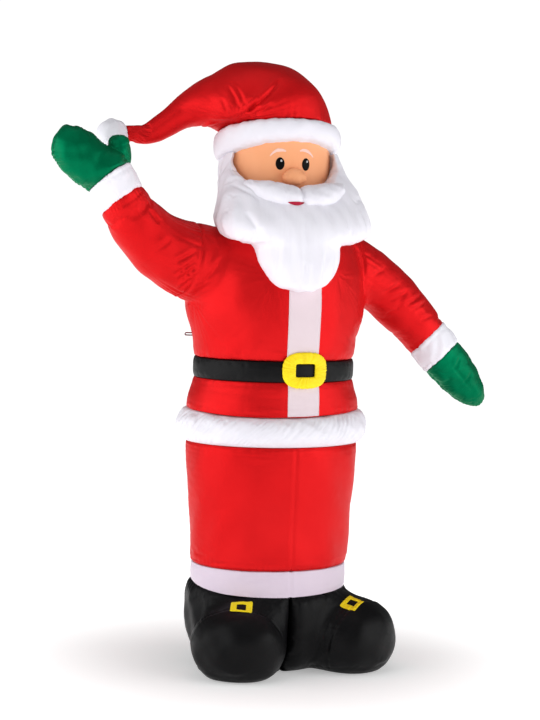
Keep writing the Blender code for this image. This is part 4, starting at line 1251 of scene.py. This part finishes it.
# two puffed lobes that meet in a notch under the nose, each with a raised outer end
def makeMoustache():
    tube = addTube("moustachePuff", 40, 80)
    angle, share, inward = tubeShares(tube)
    side = -np.cos(math.pi * np.clip(share, 0.004, 0.996))
    lobe = np.abs(side)
    x = side * moustacheLook["width"] / 2 + moustacheLook["aside"] * lobe
    height = along(moustacheLook["heights"], lobe)[:, 0] * moustacheLook["height"]
    rise = along(moustacheLook["rises"], lobe)[:, 0]
    front = -along(moustacheLook["fronts"], lobe)[:, 0]
    depth = height * 1.1 + 0.012
    y = front + depth - depth * np.cos(angle) * inward
    z = trimBase - moustacheLook["drop"] + rise + height * np.sin(angle) * inward
    setPoints(tube, headPoints(x, y, z))
    return tube


def moustacheDetails(spots, normals):
    x, y, z = headShares(spots)
    out = 0.0016 * gathers((x * 2.1 + 0.5 + 0.4 * (z - 1.86)) % 1.0, 27, 111)
    out += 0.0018 * lumps(spots, 0.05, 112)
    return out - 0.003 * bell(x, 0.006) * unit(-normals[:, 1] * 2)


def moustachePins(spots):
    x, y, z = headShares(spots)
    return (y > -0.24) | (np.abs(x) < 0.006)


sew(makeMoustache(), whiteNylon, "white", ["moustache"], moustachePins, moustacheDetails, 0.004)
print("beard and moustache formed")


# Boots: an ankle column and a fat foot each, parted by a crease down the front and the back
bandTop = levels("trouser_cuff")[0]
bootLook = {
    "toeWidth": 0.366, "instep": 0.286, "forward": 0.187, "apart": {-1: 0.204, 1: 0.266},
    "splay": math.radians(28), "toeMiddle": 0.130, "soleRound": 0.044, "split": -0.024,
    "voxel": 0.0105, "creaseWidth": 0.050, "creaseDepth": 0.034, "pucker": 0.0026, "puckers": 44,
    "seamPucker": 0.0022, "seamPuckers": 38, "slack": 0.0034,
    "ankle": ((-0.020, -0.100), (0.0, -0.078), (0.020, -0.052), (0.060, -0.022), (0.120, 0.006),
              (0.190, 0.019), (0.260, 0.020), (0.300, 0.012), (bandTop - 0.0003, -0.001)),
}


def toeRound(reach):
    share = unit(2 * reach / bootLook["toeWidth"])
    return (1 - share**2.4) ** (1 / 2.4), (1 - share**2.6) ** 0.45


def makeAnkle(name):
    tube = addTube(name, 120, 34)
    angle, share, inward = tubeShares(tube)
    heights = bootLook["ankle"]
    level = heights[0][0] + share * (heights[-1][0] - heights[0][0])
    out = along(heights, level)[:, 0]
    wide = (bodySizes["ankle"][0] + out) * inward
    deep = (bodySizes["ankle"][1] + out) * inward
    setPoints(tube, bodyPoints(angle, level, wide, deep))
    faceOut(tube)
    return tube


def footAxes(side):
    splay = bootLook["splay"]
    aim = np.array([side * math.sin(splay), -math.cos(splay), 0.0])
    across = np.array([math.cos(splay), side * math.sin(splay), 0.0])
    centre = bodyMid + np.array([side * bootLook["apart"][side], -bootLook["forward"], 0.0])
    return aim, across, centre


def makeFoot(side):
    aim, across, centre = footAxes(side)
    toe = bootLook["toeWidth"] / 2
    tube = addTube("footForm", 84, 48)
    angle, share, inward = tubeShares(tube)
    ahead = toe * np.sin(np.clip((share - 0.5) * math.pi, 0, math.pi / 2))
    reach = np.where(share < 0.5, -0.24 + 0.48 * share, ahead)
    toeWide, toeTall = toeRound(np.clip(reach, 0, toe))
    back = along(((-0.24, 0.66, 0.98), (-0.17, 0.86, 1.02), (-0.09, 0.96, 1.02), (0.0, 1.0, 1.0)), reach)
    width = np.where(reach < 0, back[:, 0], toeWide)
    height = np.where(reach < 0, back[:, 1], toeTall)
    middle = bootLook["toeMiddle"]
    rise = np.where(np.sin(angle) < 0, (middle + bootLook["soleRound"]) * np.maximum(height, 0.5),
                    (bootLook["instep"] - middle) * height)
    spots = centre + aim * reach[:, None] + across * (width * toe * np.cos(angle) * inward)[:, None]
    spots[:, 2] += middle + rise * np.sin(angle) * inward
    setPoints(tube, spots)
    faceOut(tube)
    return tube


def addBlock(name, low, high):
    deselectAll()
    middle = (np.array(low) + np.array(high)) / 2
    bpy.ops.mesh.primitive_cube_add(size=1, location=tuple(middle))
    block = bpy.context.object
    block.name = name
    block.dimensions = tuple(np.array(high) - np.array(low))
    applyPlace(block)
    return block


def makeBoot(name, side):
    boot = makeAnkle(name)
    foot = makeFoot(side)
    cut(boot, "UNION", foot)
    split = bodyX + bootLook["split"]
    if side < 0:
        half = addBlock("halfBlock", (split - 0.0005, -1, -0.5), (1, 1, 1))
    else:
        half = addBlock("halfBlock", (-1, -1, -0.5), (split + 0.0005, 1, 1))
    ground = addBlock("groundBlock", (-1, -1, -1), (1, 1, 0.0015))
    cut(boot, "DIFFERENCE", half)
    cut(boot, "DIFFERENCE", ground)
    discard(foot, half, ground)
    remesh(boot, bootLook["voxel"], 3)
    fillHollows(boot, 70, lambda spots: (spots[:, 2] > 0.03) & (np.abs(spots[:, 0] - split) > 0.02))
    # both boots round into the crease between them, and their tops follow the band's lower edge
    spots = getPoints(boot)
    gap = np.abs(spots[:, 0] - split)
    radial = spots[:, :2] - bodyMid[:2]
    far = np.linalg.norm(radial, axis=1)
    tuck = bootLook["creaseDepth"] * unit(1 - gap / bootLook["creaseWidth"]) ** 2 * (far > 0.2)
    tuck = tuck * unit((bandTop - spots[:, 2]) / 0.04) ** 0.5
    spots[:, :2] -= radial / np.maximum(far, 0.05)[:, None] * tuck[:, None]
    angle = roundBody(spots)
    above = unit((spots[:, 2] - 0.18) / (bandTop - 0.18))
    spots[:, 2] += bandDrop(angle) * above * unit(far / 0.3)
    setPoints(boot, spots)
    return boot


def bootDetails(side, seed):
    aim, across, centre = footAxes(side)

    def details(spots, normals):
        ahead = (spots - centre) @ aim
        aside = (spots - centre) @ across
        angle = roundBody(spots)
        edge = bandTop + bandDrop(angle)
        folds = gathers(turnOf(angle), bootLook["puckers"], seed)
        out = bootLook["pucker"] * folds * np.exp(-np.abs(edge - spots[:, 2]) / 0.025)
        # the seam over the toe, with its gathers
        seam = ahead - 0.050 - 0.22 * (spots[:, 2] - 0.15)
        onToe = unit((ahead + 0.02) / 0.05) * unit(spots[:, 2] / 0.03)
        out += onToe * (0.0014 * bell(seam - 0.013, 0.01) - 0.0030 * bell(seam, 0.006))
        turn = turnOf(np.arctan2(spots[:, 2] - bootLook["toeMiddle"], aside))
        folds = gathers(turn, bootLook["seamPuckers"], seed + 1)
        out += bootLook["seamPucker"] * folds * np.exp(-np.abs(seam) / 0.022) * onToe
        out += bootLook["slack"] * lumps(spots, 0.13, seed + 2)
        return out * unit(spots[:, 2] / 0.03) * (spots[:, 2] < bandTop + 0.05)

    return details


def bootPins(spots):
    angle = roundBody(spots)
    inner = np.abs(spots[:, 0] - bodyX - bootLook["split"]) < 0.006
    return (spots[:, 2] < 0.016) | (spots[:, 2] > bandTop + bandDrop(angle) - 0.014) | inner


boots = {}
for side, name, node, seed in ((-1, "bootRight", "boot_right", 121), (1, "bootLeft", "boot_left", 126)):
    boots[side] = sew(makeBoot(name, side), blackNylon, "black", [node], bootPins, bootDetails(side, seed))
print("boots formed")

blowUp()
print("all pieces blown up")
finishSewn()


# Flat and small pieces, laid on the blown-up surfaces

def treeOf(*items):
    vertices = []
    faces = []
    for item in items:
        base = len(vertices)
        vertices += [v.co.copy() for v in item.data.vertices]
        faces += [[base + i for i in face.vertices] for face in item.data.polygons]
    return BVHTree.FromPolygons(vertices, faces)


# drops each spot along its own way onto the nearest surface
def dropOnto(tree, starts, ways):
    spots = []
    for start, way in zip(starts, ways):
        hit = tree.ray_cast(Vector(start), Vector(way))[0] or tree.find_nearest(Vector(start))[0]
        spots.append(tuple(hit))
    return np.array(spots)


# The strip down the coat's front lies a little proud of the coat and follows it
stripeLook = {"halfWidth": 0.068, "aside": {"coat_stripe_upper": -0.008, "coat_stripe_lower": 0.0},
              "proud": 0.0030, "thick": 0.005}


def makeStripe(name, node, under):
    low, high = levels(node)
    deselectAll()
    bpy.ops.mesh.primitive_grid_add(x_subdivisions=16, y_subdivisions=64, size=2)
    strip = bpy.context.object
    strip.name = strip.data.name = name
    flat = getPoints(strip)
    angle = (flat[:, 0] * stripeLook["halfWidth"] + stripeLook["aside"][node]) / bodySizes["waist"][0]
    level = low + (flat[:, 1] + 1) / 2 * (high - low)
    if node == "coat_stripe_lower":
        level = level + (0.004 - hemDip(angle)) * (1 - flat[:, 1]) / 2
    outward = np.stack([np.sin(angle), -np.cos(angle), 0 * angle], 1)
    starts = bodyPoints(angle, level, 0.45, 0.42)
    spots = dropOnto(treeOf(under), starts, -outward)
    edge = unit((1 - np.abs(flat[:, 0])) / 0.14) ** 0.5
    out = stripeLook["proud"] * (0.35 + 0.65 * edge)
    setPoints(strip, spots + outward * out[:, None])
    shell = strip.modifiers.new("Solidify", "SOLIDIFY")
    shell.thickness = stripeLook["thick"]
    shell.offset = -1
    faceOut(strip)
    applyAll(strip)
    return finish(strip, stripeNylon, [node])


makeStripe("stripeUpper", "coat_stripe_upper", coat)
makeStripe("stripeLower", "coat_stripe_lower", bpy.data.objects["coatSkirt"])

noseLook = {"width": 0.092, "height": 0.064, "depth": 0.070, "out": 0.012, "drop": 0.074}


def makeNose():
    deselectAll()
    bpy.ops.mesh.primitive_uv_sphere_add(segments=64, ring_count=40, radius=1)
    nose = bpy.context.object
    nose.name = nose.data.name = "noseBall"
    x, y, z = getPoints(nose).T
    wing = bell(np.abs(x) - 0.74, 0.26) * bell(z + 0.20, 0.5)
    tip = bell(x, 0.5) * unit(-y)
    pinch = bell(np.abs(x) - 0.46, 0.12) * unit(-y + 0.2)
    grow = 1 + 0.10 * wing + 0.12 * tip - 0.06 * pinch
    bridge = unit(z) * bell(x, 0.6) * 0.14
    across = x * noseLook["width"] / 2 * grow
    deep = -headLook["radius"] - noseLook["out"] + y * noseLook["depth"] / 2 * grow
    up = trimBase - noseLook["drop"] + z * noseLook["height"] / 2 * (1 + bridge)
    setPoints(nose, headPoints(across, deep, up))
    return nose


finish(makeNose(), skinNylon, ["nose"])


# A flat patch, sewn on or, for an eye's glint, a painted highlight: a disc of rings laid on a surface by
# place(x, y), then thickened
def makePatch(name, place, material, thick=0.0016):
    deselectAll()
    bpy.ops.mesh.primitive_circle_add(vertices=56, radius=1, fill_type="NGON")
    patch = bpy.context.object
    patch.name = patch.data.name = name
    bpy.ops.object.mode_set(mode="EDIT")
    bpy.ops.mesh.select_mode(type="FACE")
    bpy.ops.mesh.select_all(action="SELECT")
    for width in (0.06, 0.1, 0.14, 0.16, 0.16, 0.16):
        bpy.ops.mesh.inset(thickness=width, depth=0)
    bpy.ops.mesh.poke()
    bpy.ops.object.mode_set(mode="OBJECT")
    flat = getPoints(patch)
    far = np.hypot(flat[:, 0], flat[:, 1])
    spots, outward = place(flat[:, 0], flat[:, 1])
    dome = unit(1 - far**6) ** 0.5
    setPoints(patch, spots + outward * (0.0004 + thick * dome)[:, None])
    shell = patch.modifiers.new("Solidify", "SOLIDIFY")
    shell.thickness = 0.0022
    shell.offset = -1
    faceOut(patch)
    applyAll(patch)
    return finish(patch, material, ())


# a spot of the face at this angle from the head's front and this level
def onHead(angle, level):
    share = unit((level - headBase) / (headLook["height"] + headLook["tuck"] + 0.04))
    radius = headRadius(share)
    spots = headPoints(radius * np.sin(angle), -radius * np.cos(angle), level)
    nought = np.zeros(len(level))
    outward = headPoints(np.sin(angle), -np.cos(angle), nought) - headPoints(nought, nought, nought)
    return spots, outward


faceLook = {
    "eyeLevel": 1.989, "eyeHalfHeight": 0.0240, "eyeHalfWidth": 0.0172, "browHalfHeight": 0.0068,
    "eyes": {"Right": -14.7, "Left": 13.8},
    "brows": {"Right": ((-25.6, 2.017), (-22.0, 2.031), (-17.0, 2.0405), (-12.5, 2.041), (-8.6, 2.037)),
              "Left": ((6.2, 2.040), (10.0, 2.0435), (14.5, 2.041), (19.0, 2.032), (23.3, 2.018))},
}


def makeEye(side):
    middle = math.radians(faceLook["eyes"][side])

    def place(x, y):
        angle = middle + x * faceLook["eyeHalfWidth"] / headLook["radius"]
        return onHead(angle, faceLook["eyeLevel"] + y * faceLook["eyeHalfHeight"])

    # the glint is a small pale grey patch on each eye: a painted highlight
    def placeGlint(x, y):
        angle = middle + (0.0045 + x * 0.0036) / headLook["radius"]
        spots, outward = onHead(angle, faceLook["eyeLevel"] + 0.011 + y * 0.0044)
        return spots + outward * 0.0018, outward

    makePatch("eye" + side, place, eyeCloth)
    makePatch("eyeGlint" + side, placeGlint, paintedGlintCloth, 0.0008)


# a brow is a band of even height along its own curved line
def makeBrow(side):
    line = faceLook["brows"][side]

    def place(x, y):
        first = line[0][0]
        last = line[-1][0]
        angle = first + (x + 1) / 2 * (last - first)
        level = along(line, angle)[:, 0]
        thin = unit(1 - np.abs(x)) ** 0.3
        band = y / np.maximum(np.sqrt(unit(1 - x**2)), 0.05)
        return onHead(np.radians(angle), level + band * thin * faceLook["browHalfHeight"])

    makePatch("brow" + side, place, browCloth, 0.0012)


for side in ("Right", "Left"):
    makeEye(side)
    makeBrow(side)

mouthLook = {"middle": 0.002, "halfWidth": 0.035, "level": 1.8365, "height": 0.0072}


def makeMouth():
    tree = treeOf(beard, bpy.data.objects["moustachePuff"])

    def place(x, y):
        level = mouthLook["level"] + y * mouthLook["height"] * (1 - 0.4 * x**2) + 0.004 * x**2
        starts = headPoints(mouthLook["middle"] + x * mouthLook["halfWidth"], np.full(len(x), -0.6), level)
        ahead = np.tile([0.0, 1.0, 0.0], (len(x), 1))
        return dropOnto(tree, starts, ahead) - ahead * 0.0010, -ahead

    makePatch("mouth", place, mouthCloth)


makeMouth()
print("stripes and face made")


# a rounded box's rim at this angle; a higher square gives sharper corners
def rimPoint(angle, halfWide, halfTall, square):
    c = np.cos(angle)
    s = np.sin(angle)
    grow = (np.abs(c) ** square + np.abs(s) ** square) ** (-1 / square)
    return halfWide * c * grow, halfTall * s * grow


# Buckles: padded square rings laid on the surface under them
def makeBuckle(name, look, place, node):
    deselectAll()
    bpy.ops.mesh.primitive_torus_add(major_segments=144, minor_segments=24, major_radius=1, minor_radius=0.25)
    ring = bpy.context.object
    ring.name = ring.data.name = name
    spots = getPoints(ring)
    around = np.arctan2(spots[:, 1], spots[:, 0])
    inOut = (np.hypot(spots[:, 0], spots[:, 1]) - 1) / 0.25
    up = spots[:, 2] / 0.25
    outerX, outerY = rimPoint(around, look["wide"] / 2, look["tall"] / 2, look["outerSquare"])
    innerX, innerY = rimPoint(around, look["holeWide"] / 2, look["holeTall"] / 2, look["innerSquare"])
    share = 0.5 + 0.5 * inOut
    wave = gathers(turnOf(around), look["puckers"], 131, 0.9)
    loose = 1 + look["loose"] * wave * unit(inOut)
    x = (innerX + (outerX - innerX) * share) * loose
    y = (innerY + (outerY - innerY) * share) * loose
    puff = np.sign(up) * np.abs(up) ** 0.7
    lift = look["thick"] * (0.5 + 0.5 * puff) * (1 + 0.14 * wave)
    setPoints(ring, place(x, y, lift))
    faceOut(ring)
    return finish(ring, yellowNylon, [node])


beltBuckle = {"wide": 0.184, "tall": 0.140, "holeWide": 0.080, "holeTall": 0.051, "outerSquare": 2.75,
              "innerSquare": 10.0, "thick": 0.016, "loose": 0.018, "puckers": 30}


def onBelt(x, y, lift):
    wide, deep = bodySizes["belt"]
    low, high = levels("belt")
    spots = bodyPoints(x / wide, (low + high) / 2 + 0.008 + y, wide, deep)
    return spots + np.stack([np.sin(x / wide), -np.cos(x / wide), 0 * x], 1) * lift[:, None]


makeBuckle("beltBuckle", beltBuckle, onBelt, "belt_buckle")

bootBuckle = {"wide": 0.084, "tall": 0.066, "holeWide": 0.036, "holeTall": 0.032, "outerSquare": 16.0,
              "innerSquare": 14.0, "thick": 0.005, "loose": 0.006, "puckers": 16, "reach": 0.064,
              "inset": {-1: 0.011, 1: 0.052}, "turn": {-1: 0.0, 1: math.radians(-12)},
              "slope": math.radians(20)}


def makeBootBuckle(name, side, node):
    aim, across, centre = footAxes(side)
    tree = treeOf(boots[side])
    upward = np.array([0, 0, 1.0])
    slope = bootBuckle["slope"]
    forward = aim * math.cos(slope) - upward * math.sin(slope)
    outward = aim * math.sin(slope) + upward * math.cos(slope)
    turn = bootBuckle["turn"][side]
    wideWay = across * math.cos(turn) + forward * math.sin(turn)
    tallWay = forward * math.cos(turn) - across * math.sin(turn)
    middle = centre + aim * bootBuckle["reach"] - across * side * bootBuckle["inset"][side]
    middle = middle + upward * bootLook["instep"]

    def place(x, y, lift):
        starts = middle + wideWay * x[:, None] - tallWay * y[:, None] + outward * 0.1
        spots = dropOnto(tree, starts, np.tile(-outward, (len(x), 1)))
        return spots + outward * (lift - 0.0015)[:, None]

    makeBuckle(name, bootBuckle, place, node)


makeBootBuckle("buckleRight", -1, "boot_buckle_right")
makeBootBuckle("buckleLeft", 1, "boot_buckle_left")

# Tether loops: flat webbing out from the coat's side, round and back in
tetherLook = {"level": 1.313, "angle": math.radians(115), "width": 0.025, "reach": 0.032, "height": 0.013,
              "webbing": 0.0035, "root": 0.010}


def makeTether(name, side, node):
    angle = side * tetherLook["angle"]
    low, high = levels("coat_body")
    size = along(profiles["coat_body"], np.array([(tetherLook["level"] - low) / (high - low)]))[0]
    foot = bodyPoints(np.array([angle]), np.array([tetherLook["level"]]), size[0], size[1])[0]
    outward = np.array([math.sin(angle), -math.cos(angle), 0.0])
    aside = np.array([math.cos(angle), math.sin(angle), 0.0])
    half = (tetherLook["height"] - tetherLook["webbing"]) / 2
    straight = tetherLook["reach"] - tetherLook["height"] / 2 + tetherLook["root"]
    deselectAll()
    bpy.ops.mesh.primitive_grid_add(x_subdivisions=10, y_subdivisions=64, size=2)
    loop = bpy.context.object
    loop.name = loop.data.name = name
    flat = getPoints(loop)
    run = (flat[:, 1] + 1) / 2 * (2 * straight + math.pi * half)
    bend = np.clip((run - straight) / half, 0, math.pi)
    back = np.clip(run - straight - math.pi * half, 0, straight)
    reach = np.minimum(run, straight) - back + half * np.sin(bend) - tetherLook["root"]
    spots = foot + outward * reach[:, None] + aside * (flat[:, 0] * tetherLook["width"] / 2)[:, None]
    spots[:, 2] -= half * np.cos(bend)
    setPoints(loop, spots)
    shell = loop.modifiers.new("Solidify", "SOLIDIFY")
    shell.thickness = tetherLook["webbing"]
    shell.offset = 0
    applyAll(loop)
    faceOut(loop)
    finish(loop, webbingCloth, [node])


makeTether("tetherRight", -1, "tether_loop_right")
makeTether("tetherLeft", 1, "tether_loop_left")
print("buckles and tethers made")


# Studio: a pale floor, soft boxes and the camera

# the floor's glow is painted light: it glows more the further it lies from the figure, so that it runs into
# the white surround, and its weaker glow near the figure paints a darker floor round it
def makeFloorLook():
    material = bpy.data.materials.new("paleFloor")
    material.use_nodes = True
    tree = material.node_tree
    shader = tree.nodes["Principled BSDF"]
    shader.inputs["Base Color"].default_value = (0.80, 0.80, 0.80, 1.0)
    shader.inputs["Roughness"].default_value = 0.9
    shader.inputs["Specular IOR Level"].default_value = 0.1
    shader.inputs["Emission Strength"].default_value = 1.0
    place = addNode(tree, "ShaderNodeTexCoord")
    far = addNode(tree, "ShaderNodeVectorMath", operation="LENGTH")
    glow = addNode(tree, "ShaderNodeMapRange", interpolation_type="SMOOTHSTEP")
    for name, value in (("From Min", 0.25), ("From Max", 1.7), ("To Min", 0.34), ("To Max", 1.0)):
        glow.inputs[name].default_value = value
    tree.links.new(place.outputs["Object"], far.inputs[0])
    tree.links.new(far.outputs["Value"], glow.inputs["Value"])
    tree.links.new(glow.outputs["Result"], shader.inputs["Emission Color"])
    return material


def makeStudio():
    deselectAll()
    bpy.ops.mesh.primitive_plane_add(size=2)
    floor = bpy.context.object
    floor.name = "studioFloor"
    bpy.ops.object.mode_set(mode="EDIT")
    bpy.ops.mesh.select_all(action="SELECT")
    bpy.ops.transform.resize(value=(30, 30, 1))
    bpy.ops.object.mode_set(mode="OBJECT")
    floor.data.materials.append(makeFloorLook())


lights = {
    "boxLeft": {"place": (-5.3, -0.2, 2.4), "aim": (0, 0, 1.3), "size": (7.0, 4.2), "power": 205},
    "boxRight": {"place": (3.9, -4.2, 2.4), "aim": (0, 0, 1.3), "size": (6.4, 4.2), "power": 185},
    "top": {"place": (-0.5, -1.0, 6.0), "aim": (0, 0, 1.0), "size": (4.0, 4.0), "power": 45},
}


def makeLights():
    for name, look in lights.items():
        deselectAll()
        bpy.ops.object.light_add(type="AREA", location=look["place"])
        lamp = bpy.context.object
        lamp.name = name
        lamp.data.shape = "RECTANGLE"
        lamp.data.size, lamp.data.size_y = look["size"]
        lamp.data.energy = look["power"]
        way = Vector(look["aim"]) - Vector(look["place"])
        lamp.rotation_euler = way.to_track_quat("-Z", "Y").to_euler()
    # the white surround is bright behind the figure and dimmer as a light
    world = bpy.data.worlds.new("studioWorld")
    world.use_nodes = True
    tree = world.node_tree
    seen = addNode(tree, "ShaderNodeLightPath")
    strength = addNode(tree, "ShaderNodeMapRange")
    strength.inputs["To Min"].default_value = 0.14
    strength.inputs["To Max"].default_value = 1.05
    tree.links.new(seen.outputs["Is Camera Ray"], strength.inputs["Value"])
    tree.nodes["Background"].inputs["Color"].default_value = (1.0, 1.0, 1.0, 1.0)
    tree.links.new(strength.outputs["Result"], tree.nodes["Background"].inputs["Strength"])
    bpy.context.scene.world = world
    bpy.context.scene.view_settings.view_transform = "Standard"


# the photograph's viewpoint, found from the figure's own curves
cameraLook = {"azimuth": math.radians(-25), "distance": 7.67, "height": 1.7535, "pitch": math.radians(4.0),
              "roll": math.radians(1.6), "focal": 1933.0, "frameHeight": 720, "aside": -0.016}


def makeCamera():
    look = cameraLook
    place = Vector((look["distance"] * math.sin(look["azimuth"]),
                    -look["distance"] * math.cos(look["azimuth"]), look["height"]))
    place += Vector((bodyX + look["aside"], bodyY, 0))
    deselectAll()
    bpy.ops.object.camera_add(location=place)
    camera = bpy.context.object
    camera.name = "photoCamera"
    level = Vector((-math.sin(look["azimuth"]), math.cos(look["azimuth"]), 0))
    right = Vector((math.cos(look["azimuth"]), math.sin(look["azimuth"]), 0))
    up = Vector((0, 0, 1))
    forward = level * math.cos(look["pitch"]) - up * math.sin(look["pitch"])
    above = up * math.cos(look["pitch"]) + level * math.sin(look["pitch"])
    turned = right * math.cos(look["roll"]) + above * math.sin(look["roll"])
    head = above * math.cos(look["roll"]) - right * math.sin(look["roll"])
    camera.matrix_world = Matrix.Translation(place) @ Matrix((turned, head, -forward)).transposed().to_4x4()
    camera.data.sensor_width = 36
    camera.data.lens = look["focal"] / look["frameHeight"] * 36
    camera.data.clip_end = 100
    camera.data.dof.use_dof = False
    bpy.context.scene.camera = camera


makeStudio()
makeLights()
makeCamera()
print("studio made")
